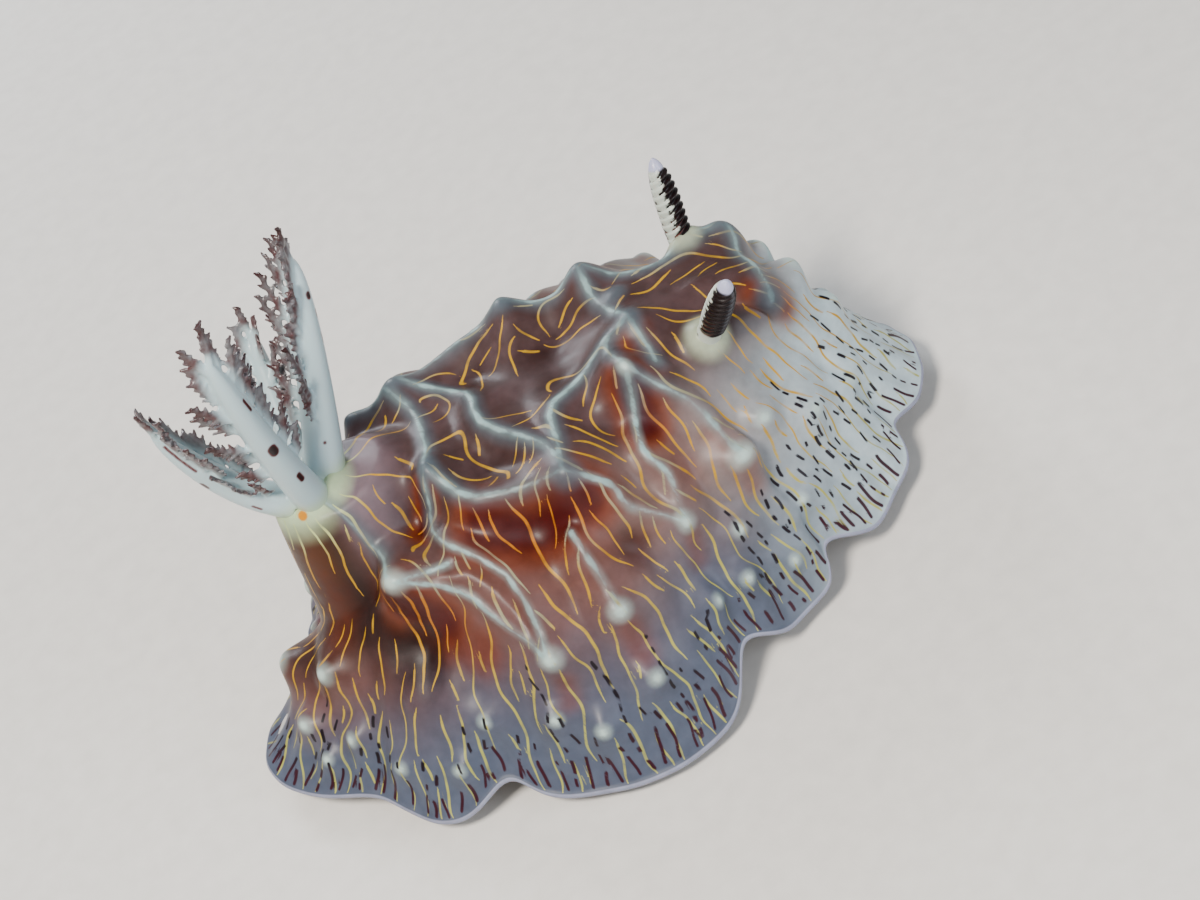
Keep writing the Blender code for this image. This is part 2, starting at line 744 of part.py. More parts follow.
def make_rhinophore(name, root, tip):
    """A club of stacked leaflets on its stalk, with a blunt tip."""

    def radii(s):
        swell = np.clip((s - CLUB_START) / (CLUB_FULL - CLUB_START), 0, 1)
        past = max((s - CLUB_TAPER_START) / (1 - CLUB_TAPER_START), 0)
        return (RHINOPHORE_STALK + (RHINOPHORE_CLUB - RHINOPHORE_STALK) * swell) * blunt(past, 2)

    new_object(name, stem(straight(root, tip), radii, 12, 36, leaf_ripple), "rhinophore")


def blunt(share, power):
    """The share of its full radius that a stem keeps near its rounded tip."""
    return math.sqrt(max(1 - share**power, 0.05))


def plume_radius(root_radius, s):
    return root_radius * (1 - PLUME_TAPER * s)


def trunk_pieces(extra):
    """The trunk and the first stretch of each plume, thicker all round by the extra."""
    lean = np.array(TRUNK_LEAN)
    base = np.array(TRUNK_BASE) - lean * extra
    top = np.array(TRUNK_BASE) + lean * TRUNK_HEIGHT
    trunk = stem(straight(base, top), lambda s: TRUNK_RADIUS + extra, 20, 3)
    pieces = [new_object("gill_trunk_core", trunk, "gill")]
    for name, (root, middle, tip, radius) in PLUMES.items():
        path = bend_through(root, middle, tip)
        end = STUB_LENGTH / np.linalg.norm(np.array(tip) - root)

        def stub_path(s, path=path, end=end):
            return path(end * s)

        def stub_radius(s, radius=radius, end=end):
            return plume_radius(radius, end * s) + extra

        pieces.append(new_object(name + "_stub", stem(stub_path, stub_radius, 12, 4), "gill"))
    return pieces


def filaments(name, path, stem_radius, draw):
    """The plume's filaments: tapered, bent up to the tip, in two rows that open to one side."""
    side, spread, count, length = FILAMENTS[name]
    side = np.array(side)
    pieces = []
    for index in range(count):
        share = np.interp(index, (0, count - 1), FILAMENT_SPAN)
        ahead = path(share + 0.01) - path(share - 0.01)
        ahead = ahead / np.linalg.norm(ahead)
        facing = side - ahead * (side @ ahead)
        facing = facing / np.linalg.norm(facing)
        row = 1 if index % 2 else -1
        turned = math.radians(spread) * row * draw.uniform(0.8, 1.15)
        outward = facing * math.cos(turned) + np.cross(ahead, facing) * math.sin(turned)
        lean = math.radians(np.interp(share, (0, 1), FILAMENT_LEAN))
        direction = outward * math.cos(lean) + ahead * math.sin(lean)
        reach = length * (0.7 + 0.3 * math.sin(math.pi * share)) * draw.uniform(0.85, 1.1)
        root = path(share) + outward * FILAMENT_SUNK * stem_radius(share)
        tip = root + direction * reach + ahead * reach * FILAMENT_CURVE
        line = bend_through(root, root + direction * reach * 0.5, tip)

        def thickness(s):
            return FILAMENT_ROOT_RADIUS + (FILAMENT_TIP_RADIUS - FILAMENT_ROOT_RADIUS) * s**1.5

        pieces.append(new_object(f"{name}_filament", stem(line, thickness, 5, 3), "gill"))
    return pieces


def make_gills():
    """The short trunk in its pocket, and the four plumes that carry on from its branches."""
    draw = random.Random(SEED)
    fuse("gill_trunk", trunk_pieces(0), "gill")
    for name, (root, middle, tip, radius) in PLUMES.items():
        path = bend_through(root, middle, tip)
        start = (STUB_LENGTH + GAP) / np.linalg.norm(np.array(tip) - root)

        def plume_path(s, path=path, start=start):
            return path(start + (1 - start) * s)

        def stem_radius(s, radius=radius, start=start):
            return plume_radius(radius, start + (1 - start) * s) * blunt(s, 6)

        pieces = [new_object(name + "_stem", stem(plume_path, stem_radius, 10, 10), "gill")]
        pieces += filaments(name, plume_path, stem_radius, draw)
        fuse(name, pieces, "gill")


def foot_outline(angle):
    """The sole: rounded at the front, drawn out to a blunt tail."""
    middle = (FOOT_FRONT + FOOT_REAR) / 2
    x = middle + (FOOT_FRONT - FOOT_REAR) / 2 * math.cos(angle)
    share = (FOOT_FRONT - x) / (FOOT_FRONT - FOOT_REAR)
    wide = max(math.sin(math.pi * share**FOOT_WIDEST), 0.0) ** FOOT_BLUNT
    return x, FOOT_HALF_WIDTH * wide * math.copysign(1, math.sin(angle))


def make_foot():
    """A flat sole with a slightly drawn-in wall, up to just under the mantle."""
    mesh = bmesh.new()
    bmesh.ops.create_circle(mesh, cap_ends=True, segments=FOOT_COLUMNS, radius=1)
    for vert in mesh.verts:
        x, y = foot_outline(math.atan2(vert.co.y, vert.co.x))
        vert.co = Vector((x, y, 0)) * MM
    sole = mesh.faces[:]
    top = sole
    before = 1.0
    for height, scale in FOOT_LEVELS:
        grown = bmesh.ops.extrude_face_region(mesh, geom=top)["geom"]
        if top is not sole:
            bmesh.ops.delete(mesh, geom=top, context="FACES_ONLY")
        top = [item for item in grown if isinstance(item, bmesh.types.BMFace)]
        for vert in top[0].verts:
            vert.co.x *= scale / before
            vert.co.y *= scale / before
            vert.co.z = height * MM
        before = scale
    slice_between(mesh, None, HEAD_BACK)
    new_object("foot", mesh, "foot")


def head_point(around, along):
    """An oval snout with its pole forward, where lips ring an upright slit of a mouth."""
    polar = along**HEAD_CROWDING * np.pi
    angle = around * 2 * np.pi
    y = HEAD_SIZE[1] * np.sin(polar) * np.cos(angle)
    z = HEAD_SIZE[2] * np.sin(polar) * np.sin(angle)
    x = HEAD_SIZE[0] * np.cos(polar)
    front = polar < np.pi / 2
    away = np.hypot(y, z / LIP_STRETCH)
    lips = LIP_HEIGHT * np.exp(-(((away - LIP_RADIUS) / LIP_WIDTH) ** 2))
    slit = MOUTH_DEPTH * np.exp(-((y / MOUTH_HALF_WIDTH) ** 2) - (z / MOUTH_HALF_HEIGHT) ** 4)
    x = x + np.where(front, lips - slit, 0.0)
    return np.stack([x, y, z], -1) + np.array(HEAD_CENTRE)


def tentacle_radius(s):
    return TENTACLE_RADIUS * (1 - TENTACLE_TAPER * s) * blunt(s, 6)


def make_head():
    """The head, flat where it meets the foot and the belly level, and its oral tentacles."""
    mesh = mapped_grid(24, 17, head_point)
    slice_between(mesh, HEAD_BACK + GAP, None)
    top = BELLY_LEVEL - GAP
    cut = bmesh.ops.bisect_plane(
        mesh,
        geom=mesh.verts[:] + mesh.edges[:] + mesh.faces[:],
        dist=1e-7,
        plane_co=(0, 0, top * MM),
        plane_no=(0, 0, 1),
        clear_outer=True,
    )
    edges = [item for item in cut["geom_cut"] if isinstance(item, bmesh.types.BMEdge)]
    bmesh.ops.holes_fill(mesh, edges=edges, sides=0)
    head = new_object("head", mesh, "head")
    wells = []
    for name, side in (("oral_tentacle_right", -1), ("oral_tentacle_left", 1)):
        mirror = np.array([1, side, 1])
        root = np.array(TENTACLE_ROOT) * mirror
        middle = np.array(TENTACLE_MIDDLE) * mirror
        tip = np.array(TENTACLE_TIP) * mirror
        path = bend_through(root, middle, tip)
        new_object(name, stem(path, tentacle_radius, 10, 8), "head")
        ahead = path(0.2) - path(0)
        ahead = ahead / np.linalg.norm(ahead)
        inner = root - ahead * GAP
        outer = root + ahead * TENTACLE_WELL
        wells.append(rod_cutter(name + "_well", inner, outer, TENTACLE_RADIUS + GAP))
    cut_away(head, wells)
    keep_largest(head)


def main():
    clear_scene()
    make_mantle()
    make_foot()
    make_head()
    for name, (root, tip) in RHINOPHORES.items():
        make_rhinophore(name, root, tip)
    make_gills()


main()
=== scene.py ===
# %% [markdown]
# # A dorid sea slug, dressed as a museum model
#
# Halgerda willeyi carries one arched mantle over its whole body. Pale ridges join its tubercles like
# ropes over tent poles, yellow lines run down between them, and short black dashes ring the thin edge.
# The plain solids of the model are loaded first and say where everything is. Each step then makes a
# finer surface for a part of the animal, and a finish that comes from nodes alone.

# %% Load the solids
import math
import random

import bmesh
import bpy
import numpy as np
from mathutils import Matrix, Vector
from mathutils.kdtree import KDTree


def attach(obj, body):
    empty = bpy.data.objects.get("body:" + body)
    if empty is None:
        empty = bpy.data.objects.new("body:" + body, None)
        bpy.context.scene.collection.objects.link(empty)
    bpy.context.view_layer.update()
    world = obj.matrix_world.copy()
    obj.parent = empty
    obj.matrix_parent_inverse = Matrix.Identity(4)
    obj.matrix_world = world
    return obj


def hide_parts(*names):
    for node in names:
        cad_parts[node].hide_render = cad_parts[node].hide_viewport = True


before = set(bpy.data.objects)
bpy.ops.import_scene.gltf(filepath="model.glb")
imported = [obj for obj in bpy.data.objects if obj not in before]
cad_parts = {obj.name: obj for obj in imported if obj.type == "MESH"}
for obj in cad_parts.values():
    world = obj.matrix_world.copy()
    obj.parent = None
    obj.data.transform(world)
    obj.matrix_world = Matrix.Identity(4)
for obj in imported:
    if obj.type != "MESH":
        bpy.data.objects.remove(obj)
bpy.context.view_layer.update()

# %% [markdown]
# ## Units, colours and nodes
#
# Sizes below are in millimetres, because a slug is measured that way, and one factor turns them to
# Blender's metres. Colours are written as sRGB hex, the way a paint picker shows them, and one function
# makes them linear. Materials here are long chains of nodes, so one small function adds a node, sets it
# and links it in a single call.

# %% Helpers for units, colours and nodes
MM = 0.001
SEED = 11
FLESH_IOR = 1.38
SCATTER_BY_COLOUR = (1.0, 0.55, 0.45)
FILM_WEIGHT = 0.08
FILM_ROUGHNESS = 0.28

# A number small enough to change nothing, which keeps a division safe.
TINY = 1e-9


def linear(hex_colour):
    """The linear colour of an sRGB hex value."""
    channels = [int(hex_colour[i : i + 2], 16) / 255 for i in (1, 3, 5)]
    return [c / 12.92 if c <= 0.04045 else ((c + 0.055) / 1.055) ** 2.4 for c in channels] + [1.0]


def add(tree, kind, inputs=None, **settings):
    """Adds one node: settings are its own properties, inputs are values or links for its sockets."""
    made = tree.nodes.new(kind)
    for name, value in settings.items():
        setattr(made, name, value)
    for socket, value in (inputs or {}).items():
        if isinstance(value, bpy.types.NodeSocket):
            tree.links.new(value, made.inputs[socket])
        else:
            made.inputs[socket].default_value = value
    return made


def new_material(name):
    """An empty node material with its shader and output, and the object coordinates."""
    material = bpy.data.materials.new(name)
    material.use_nodes = True
    tree = material.node_tree
    place = add(tree, "ShaderNodeTexCoord").outputs["Object"]
    return material, tree, tree.nodes["Principled BSDF"], place


def wet(shader, depth, reach):
    """Makes a shader wet and translucent: its share of scattered light, and how far that goes in mm."""
    shader.inputs["IOR"].default_value = FLESH_IOR
    shader.inputs["Subsurface Weight"].default_value = depth
    shader.inputs["Subsurface Radius"].default_value = SCATTER_BY_COLOUR
    shader.inputs["Subsurface Scale"].default_value = reach * MM
    shader.inputs["Coat Weight"].default_value = FILM_WEIGHT
    shader.inputs["Coat Roughness"].default_value = FILM_ROUGHNESS


def finished(name, mesh, material, slot, *nodes):
    """The object of a finished bmesh, which stands for the given nodes of the solids."""
    bmesh.ops.recalc_face_normals(mesh, faces=mesh.faces)
    data = bpy.data.meshes.new(name)
    mesh.to_mesh(data)
    mesh.free()
    data.shade_smooth()
    data.materials.append(material)
    obj = bpy.data.objects.new(name, data)
    bpy.context.scene.collection.objects.link(obj)
    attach(obj, "root")
    if nodes:
        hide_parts(*nodes)
    data.calc_loop_triangles()
    print(name, "has", len(data.loop_triangles), "triangles")
    return obj


# %% [markdown]
# ## The smooth back
#
# Under its relief the mantle is a vault: it starts from a short spine line and falls to an oval rim with
# ruffles. A point of it is named by an angle round the animal, 0 at the head and counted to its left,
# and by a share of the way from the spine to the rim. The flanks fall late and steeply, the tail early
# and gently, which one power for each direction gives.

# %% The smooth back
REACH_FRONT = 30.0
REACH_REAR = 31.0
REACH_RIGHT = 23.5
REACH_LEFT = 23.0
OUTLINE_POWER = 2.12
SPINE_FRONT = 17.0
SPINE_REAR = -14.5
BACK_HEIGHT = 21.5
RIM_HEIGHT = 1.7
RIM_END_LIFT = 0.8
FALL_SIDE = 3.1
FALL_FRONT = 2.0
FALL_REAR = 0.95
FALL_EASE = 1.3
SPINE_BLEND = 0.08
SMALL_STEP = 1e-3
NORMAL_ZONE = (0.02, 0.97)

# Ruffles of the edge: angle from the head, width of the ruffle, outward and upward shift.
RUFFLES = (
    (-169, 15, 2.8, 0.5), (-146, 8, -0.6, 0.8), (-131, 9, 1.0, -0.2), (-121, 5, -1.6, 1.8),
    (-96, 15, 2.2, -0.4), (-76, 6, -2.6, 2.6), (-63, 9, -2.6, 0.0), (-51, 5, -2.8, 2.2),
    (-40, 12, -1.6, 0.0), (-21, 5, -1.8, 1.2), (-1, 14, 2.2, 0.6), (24, 9, 1.0, 0.0),
    (40, 6, -1.4, 1.8), (62, 12, 1.2, -0.2), (82, 6, -1.6, 2.0), (104, 13, 1.4, -0.3),
    (127, 6, -1.6, 2.0), (148, 11, -2.6, -0.4), (166, 10, -3.8, -0.4),
)


def turn(angle):
    """Wraps an angle to half a turn either way."""
    return (angle + np.pi) % (2 * np.pi) - np.pi


def rim(theta):
    """The edge of the mantle at each angle: an oval, with its ruffles pushed out or up."""
    c = np.cos(theta)
    s = np.sin(theta)
    reach_x = np.where(c > 0, REACH_FRONT, REACH_REAR)
    reach_y = np.where(s > 0, REACH_LEFT, REACH_RIGHT)
    radius = (np.abs(c) ** OUTLINE_POWER + np.abs(s) ** OUTLINE_POWER) ** (-1 / OUTLINE_POWER)
    x = reach_x * radius * c
    y = reach_y * radius * s
    z = RIM_HEIGHT + RIM_END_LIFT * c**2
    outward = np.zeros_like(theta)
    for angle, width, push, lift in RUFFLES:
        share = np.exp(-((turn(theta - math.radians(angle)) / math.radians(width)) ** 2))
        outward = outward + push * share
        z = z + lift * share
    grow = 1 + outward / np.hypot(x, y)
    return x * grow, y * grow, z


def spine(theta):
    """The point of the spine that the column at this angle starts from."""
    half = (SPINE_FRONT - SPINE_REAR) / 2
    return (SPINE_FRONT + SPINE_REAR) / 2 + half * np.cos(theta)


def back(theta, share):
    """The smooth back, from the spine at share 0 to the rim at share 1."""
    x1, y1, z1 = rim(theta)
    x0 = spine(theta)
    c = np.cos(theta)
    ends = (FALL_FRONT + FALL_REAR) / 2 + (FALL_FRONT - FALL_REAR) / 2 * c
    power = FALL_SIDE * (1 - c**2) + ends * c**2
    fall = np.clip(1 - share**power, 0, 1) ** FALL_EASE
    return np.stack([x0 + (x1 - x0) * share, y1 * share, z1 + (BACK_HEIGHT - z1) * fall], -1)


def back_normal(theta, share):
    """The direction out of the smooth back, by small steps along and across it."""
    inner = np.clip(share, *NORMAL_ZONE)
    across = back(theta, inner + SMALL_STEP) - back(theta, inner - SMALL_STEP)
    along = back(theta + SMALL_STEP, inner) - back(theta - SMALL_STEP, inner)
    normal = np.cross(across, along)
    normal = normal / np.linalg.norm(normal, axis=-1, keepdims=True)
    tilt = np.clip(share / SPINE_BLEND, 0, 1)[..., None]
    normal = normal * tilt + np.array([0.0, 0.0, 1.0]) * (1 - tilt)
    return normal / np.linalg.norm(normal, axis=-1, keepdims=True)


def station(angle, share):
    """A point of the smooth back, by its angle in degrees and its share."""
    return back(np.array([math.radians(angle)]), np.array([share]))[0]


print("back at mid flank, mm:", station(-90, 0.5).round(1))

# %% [markdown]
# ## Tubercles, ridges and hollows
#
# The relief is what a keeper knows this species by. Blunt cones stand in rows over the flanks, sharp
# ridges run from one to the next, and the skin sags between them. Each form is one rise that falls away
# with distance from a point or from a curved path, first fast and then slowly, as cloth hangs from a
# rope. Where forms meet they are blended by a high power, so that ridges flow into their tubercles.

# %% Tubercles, ridges and hollows
TUBERCLE_POWER = 1.5
RIDGE_POWER = 1.1
HOLLOW_POWER = 2.4
SPREAD = 1.3
RAISE = 1.1
CREST_ROUND = 0.3
MEETING_POWER = 4.0
RUN_DEPTH = 2.0
RUNS_PER_SPAN = 3
RIM_FADE = 0.06
FOLD_COUNT = 46
FOLD_HEIGHT = 0.18
FOLD_START = 0.5
FOLD_RAMP = 0.42
AWAY = 9.0

# Tubercles further out than this have pale tips. The others are shaded on top, except for the ones
# listed, whose pale caps are smaller by this factor.
PALE_TIPS_FROM = 0.42
SMALL_CAPS = ((-64, 0.28),)
SMALL_CAP = 0.55

# Tubercles: angle from the head, share of the way to the rim, height, radius.
TUBERCLES = (
    (-50, 0.09, 2.0, 2.0), (-64, 0.28, 2.9, 1.9), (-89, 0.41, 2.4, 2.2), (-118, 0.20, 2.4, 1.7),
    (-129, 0.44, 2.6, 1.5), (-74, 0.71, 1.7, 1.5), (-92, 0.71, 1.8, 1.5), (-104, 0.73, 2.2, 1.6),
    (-57, 0.65, 1.9, 1.6), (-46, 0.62, 1.3, 1.2), (-16, 0.40, 1.9, 2.3), (-36, 0.69, 1.1, 1.3),
    (-176, 0.62, 2.2, 1.5), (-156, 0.59, 2.0, 1.5), (-162, 0.75, 1.4, 1.2),
    (52, 0.12, 1.6, 1.9), (62, 0.27, 2.9, 1.9), (82, 0.34, 2.9, 2.1), (113, 0.28, 2.4, 1.8),
    (125, 0.36, 2.3, 1.5), (70, 0.69, 1.7, 1.5), (90, 0.72, 1.8, 1.5), (106, 0.71, 2.0, 1.6),
    (54, 0.64, 1.7, 1.6), (42, 0.60, 1.4, 1.3), (25, 0.40, 3.4, 1.9), (21, 0.52, 2.4, 1.5),
    (4, 0.50, 2.0, 1.4), (158, 0.60, 2.0, 1.5), (164, 0.76, 1.4, 1.2),
)
EDGE_TUBERCLES = (
    (-66, 0.77, 1.0, 1.2), (-70, 0.86, 0.9, 1.1), (-60, 0.89, 0.8, 1.0), (-50, 0.86, 1.0, 1.1),
    (-77, 0.88, 0.9, 1.1), (-92, 0.84, 1.2, 1.2), (-102, 0.88, 1.0, 1.1), (-108, 0.84, 1.0, 1.1),
    (-121, 0.85, 1.0, 1.1), (-127, 0.89, 0.8, 1.0), (-138, 0.87, 0.9, 1.0), (-150, 0.81, 1.0, 1.1),
    (-156, 0.86, 0.8, 1.0), (-20, 0.78, 0.9, 1.1), (-2, 0.64, 1.0, 1.2), (16, 0.80, 0.9, 1.1),
    (36, 0.82, 0.9, 1.1), (56, 0.86, 1.0, 1.1), (68, 0.84, 1.0, 1.1), (80, 0.87, 0.9, 1.1),
    (96, 0.85, 1.1, 1.2), (110, 0.87, 1.0, 1.1), (124, 0.84, 1.0, 1.1), (138, 0.86, 0.9, 1.0),
    (152, 0.83, 1.0, 1.1), (174, 0.84, 0.9, 1.1),
)

# Hollows between the ridges: angle, share, depth, radius.
HOLLOWS = (
    (-124, 0.30, 1.7, 1.9), (-98, 0.47, 1.4, 2.6), (-70, 0.39, 1.2, 2.2), (-130, 0.60, 1.8, 3.2),
    (-84, 0.64, 0.8, 2.0), (-103, 0.22, 0.8, 2.6), (-75, 0.12, 0.8, 2.4), (-30, 0.52, 0.7, 2.6),
    (103, 0.44, 1.3, 2.6), (72, 0.42, 1.2, 2.2), (130, 0.56, 1.6, 3.0), (84, 0.62, 0.8, 2.0),
    (100, 0.16, 0.8, 2.4), (76, 0.14, 0.8, 2.4), (-150, 0.34, 1.2, 3.0), (150, 0.34, 1.2, 3.0),
)

# Ridges: height, half width, and the points that they run through, each an angle and a share.
RIDGES = (
    (1.7, 1.3, ((-118, 0.20), (-107, 0.34), (-89, 0.41))),
    (1.3, 1.2, ((-89, 0.41), (-90, 0.29), (-102, 0.09), (102, 0.09), (112, 0.29))),
    (1.2, 1.2, ((115, 0.30), (117, 0.11), (-118, 0.20))),
    (1.2, 1.2, ((-89, 0.41), (-87, 0.31), (-83, 0.18), (-60, 0.09))),
    (1.2, 1.0, ((-118, 0.20), (-121, 0.37), (-106, 0.55), (-104, 0.73))),
    (1.2, 1.0, ((-129, 0.44), (-116, 0.55), (-111, 0.62), (-104, 0.73))),
    (1.1, 1.0, ((-129, 0.44), (-117, 0.48))),
    (1.1, 1.2, ((-165, 0.12), (-135, 0.33), (-129, 0.44))),
    (1.2, 1.0, ((-93, 0.53), (-92, 0.65), (-92, 0.71))),
    (1.2, 1.0, ((-89, 0.41), (-83, 0.50), (-82, 0.58), (-74, 0.71))),
    (1.2, 1.0, ((-64, 0.28), (-72, 0.50), (-71, 0.59), (-74, 0.71))),
    (1.3, 1.2, ((-64, 0.28), (-62, 0.11), (-50, 0.09))),
    (1.0, 1.2, ((-64, 0.28), (-57, 0.45), (-57, 0.65))),
    (1.0, 1.2, ((-50, 0.09), (-56, 0.30))),
    (1.7, 1.3, ((125, 0.36), (113, 0.28), (96, 0.31), (82, 0.34), (70, 0.27), (62, 0.27))),
    (1.2, 1.2, ((62, 0.27), (58, 0.12), (-50, 0.09))),
    (1.4, 1.3, ((62, 0.27), (44, 0.24), (30, 0.30), (25, 0.40))),
    (1.3, 1.2, ((25, 0.40), (4, 0.32), (-16, 0.40))),
    (1.2, 1.0, ((25, 0.40), (21, 0.52), (4, 0.50))),
    (1.2, 1.2, ((82, 0.34), (86, 0.52), (90, 0.72))),
    (1.2, 1.0, ((82, 0.34), (76, 0.52), (70, 0.69))),
    (1.2, 1.0, ((113, 0.28), (110, 0.50), (106, 0.71))),
    (1.2, 1.0, ((62, 0.27), (58, 0.48), (54, 0.64))),
    (1.1, 1.2, ((170, 0.14), (140, 0.32), (125, 0.36))),
)


def distance_to_run(points, normals, start, end):
    """How far each point is from a straight run, along the surface there, with some depth free."""
    run = end - start
    share = np.clip(((points - start) @ run) / max(run @ run, TINY), 0, 1)
    away = points - (start + share[:, None] * run)
    depth = np.sum(away * normals, -1, keepdims=True)
    flat = np.linalg.norm(away - normals * depth, axis=-1)
    return np.hypot(flat, np.clip(np.abs(depth[:, 0]) - RUN_DEPTH, 0, None))


def curved(stops):
    """More points between the stops of a path, on a smooth curve through all of them."""
    ends = [2 * stops[0] - stops[1]] + stops + [2 * stops[-1] - stops[-2]]
    points = [stops[0]]
    for a, b, c, d in zip(ends, ends[1:], ends[2:], ends[3:]):
        for index in range(1, RUNS_PER_SPAN + 1):
            t = index / RUNS_PER_SPAN
            bend = (2 * a - 5 * b + 4 * c - d) * t**2 + (3 * b - a - 3 * c + d) * t**3
            points.append(b + 0.5 * ((c - a) * t + bend))
    return points


def distance_to_path(points, normals, places):
    """The distance to the nearest point of a curved path between stations."""
    stops = [station(angle, share) for angle, share in places]
    stops = curved(stops) if len(stops) > 1 else stops * 2
    runs = [distance_to_run(points, normals, a, b) for a, b in zip(stops, stops[1:])]
    return np.min(runs, axis=0)


def bump(distance, height, radius, power):
    """A rise that falls away with the distance from its top or crest."""
    return height * np.exp(-((distance / radius) ** power))


def tent(distance, height, radius, power):
    """A rise like cloth over a pole or a rope: a small round crest, and flanks that sag."""
    rounded = np.hypot(distance, CREST_ROUND) - CREST_ROUND
    return bump(rounded, height * RAISE, radius * SPREAD, power)


def relief(theta, share, points, normals):
    """How far the skin stands out from the smooth back, and how far off tips, crowns and crests are."""
    raised = np.zeros(len(points))
    tip = np.full(len(points), AWAY)
    crown = np.full(len(points), AWAY)
    crest = np.full(len(points), AWAY)
    for angle, place, height, radius in TUBERCLES + EDGE_TUBERCLES:
        away = distance_to_path(points, normals, ((angle, place),))
        raised = raised + tent(away, height, radius, TUBERCLE_POWER) ** MEETING_POWER
        if place > PALE_TIPS_FROM:
            tip = np.minimum(tip, away / radius)
        elif (angle, place) in SMALL_CAPS:
            tip = np.minimum(tip, away / radius / SMALL_CAP)
        else:
            crown = np.minimum(crown, away / radius)
    for height, width, places in RIDGES:
        away = distance_to_path(points, normals, places)
        raised = raised + tent(away, height, width, RIDGE_POWER) ** MEETING_POWER
        crest = np.minimum(crest, away)
    lift = raised ** (1 / MEETING_POWER)
    for angle, place, depth, radius in HOLLOWS:
        away = distance_to_path(points, normals, ((angle, place),))
        lift = lift - bump(away, depth, radius, HOLLOW_POWER)
    folds = np.clip((share - FOLD_START) / FOLD_RAMP, 0, 1)
    lift = lift + FOLD_HEIGHT * np.cos(FOLD_COUNT * theta) * folds
    return lift, {"tip": tip, "crown": crown, "crest": crest}


# %% [markdown]
# ## The turret and the skin round the stalks
#
# The gills stand in a raised turret near the tail, and the rhinophores in low sheaths. Both are the
# same skin drawn up a stalk. The turret is lifted straight up to a sloping top, and the skin then
# climbs each stalk a little, so that no slot shows where they meet.

# %% The turret and the sheaths
TURRET_CENTRE = (-16.7, 0.3)
TURRET_TOP = 23.2
TURRET_SLOPE = 0.12
TURRET_INNER = 3.6
TURRET_OUTER = 6.2
TURRET_APRON = 0.62
TRUNK_BASE = np.array([-17.0, 0.3, 21.4])
TRUNK_LEAN = np.array([-0.12, 0.02, 1.0]) / np.linalg.norm([-0.12, 0.02, 1.0])
TRUNK_RADIUS = 2.5
TRUNK_CLIMB = 1.3
TRUNK_EASE = 0.9
COLLAR_LEVEL = 22.8
ORANGE_PATCH = np.array([-18.4, -2.4, 24.0])
ORANGE_PATCH_RADIUS = 0.4
RHINOPHORES = {
    "rhinophore_right": ((16.0, -4.5, 19.4), (19.5, -8.5, 27.6)),
    "rhinophore_left": ((18.5, 4.7, 18.2), (20.3, 8.0, 28.4)),
}
SHEATH_RADIUS = 0.7
SHEATH_CLIMB = 1.5
SHEATH_EASE = 1.2


def ease(value):
    """A smooth step from 0 to 1."""
    value = np.clip(value, 0, 1)
    return value * value * (3 - 2 * value)


def turret_share(points):
    """How much of the turret's rise each point has: its apron reaches further to the front."""
    ahead = points[:, 0] - TURRET_CENTRE[0]
    ahead = np.where(ahead > 0, ahead * TURRET_APRON, ahead)
    away = np.hypot(ahead, points[:, 1] - TURRET_CENTRE[1])
    return ease((TURRET_OUTER - away) / (TURRET_OUTER - TURRET_INNER))


def climb(points, foot, direction, radius, height, reach):
    """Draws the skin up a stalk: full height inside its radius, gone a few times the reach outside."""
    away = points - foot
    across = np.linalg.norm(away - (away @ direction)[:, None] * direction, axis=-1)
    share = np.exp(-((np.clip(across - radius, 0, None) / reach) ** 2))
    return points + direction * (height * share)[:, None], share


def skin(theta, share):
    """The finished back, with the values that its finish needs at each point."""
    points = back(theta, share)
    normals = back_normal(theta, share)
    lift, near = relief(theta, share, points, normals)
    fade = np.clip((1 - share) / RIM_FADE, 0, 1)
    points = points + normals * (lift * fade)[:, None]
    turret = turret_share(points)
    ahead = points[:, 0] - TURRET_CENTRE[0]
    rise = np.clip(TURRET_TOP + TURRET_SLOPE * ahead - points[:, 2], 0, None)
    points[:, 2] += rise * turret
    away = points - TRUNK_BASE
    collar = np.linalg.norm(away - (away @ TRUNK_LEAN)[:, None] * TRUNK_LEAN, axis=-1)
    collar = np.hypot(collar, np.clip(COLLAR_LEVEL - points[:, 2], 0, None))
    points, _ = climb(points, TRUNK_BASE, TRUNK_LEAN, TRUNK_RADIUS, TRUNK_CLIMB, TRUNK_EASE)
    sheath = np.zeros(len(points))
    for root, end in RHINOPHORES.values():
        direction = np.array(end) - root
        direction = direction / np.linalg.norm(direction)
        points, drawn = climb(points, root, direction, SHEATH_RADIUS, SHEATH_CLIMB, SHEATH_EASE)
        sheath = np.maximum(sheath, drawn)
    patch = np.linalg.norm(points - ORANGE_PATCH, axis=-1) - ORANGE_PATCH_RADIUS
    return points, {"lift": lift, "collar": collar, "sheath": sheath, "patch": patch, **near}


# %% [markdown]
# ## Edge, underside, foot and head
#
# A museum model is turned over and looked into, so the skin goes on round the thin edge, in under the
# mantle, down the wall of the body and across the sole. It is the same grid all the way, which is why
# there is no seam. At the front the wall swells into the head, with its lips and the slit of the mouth.

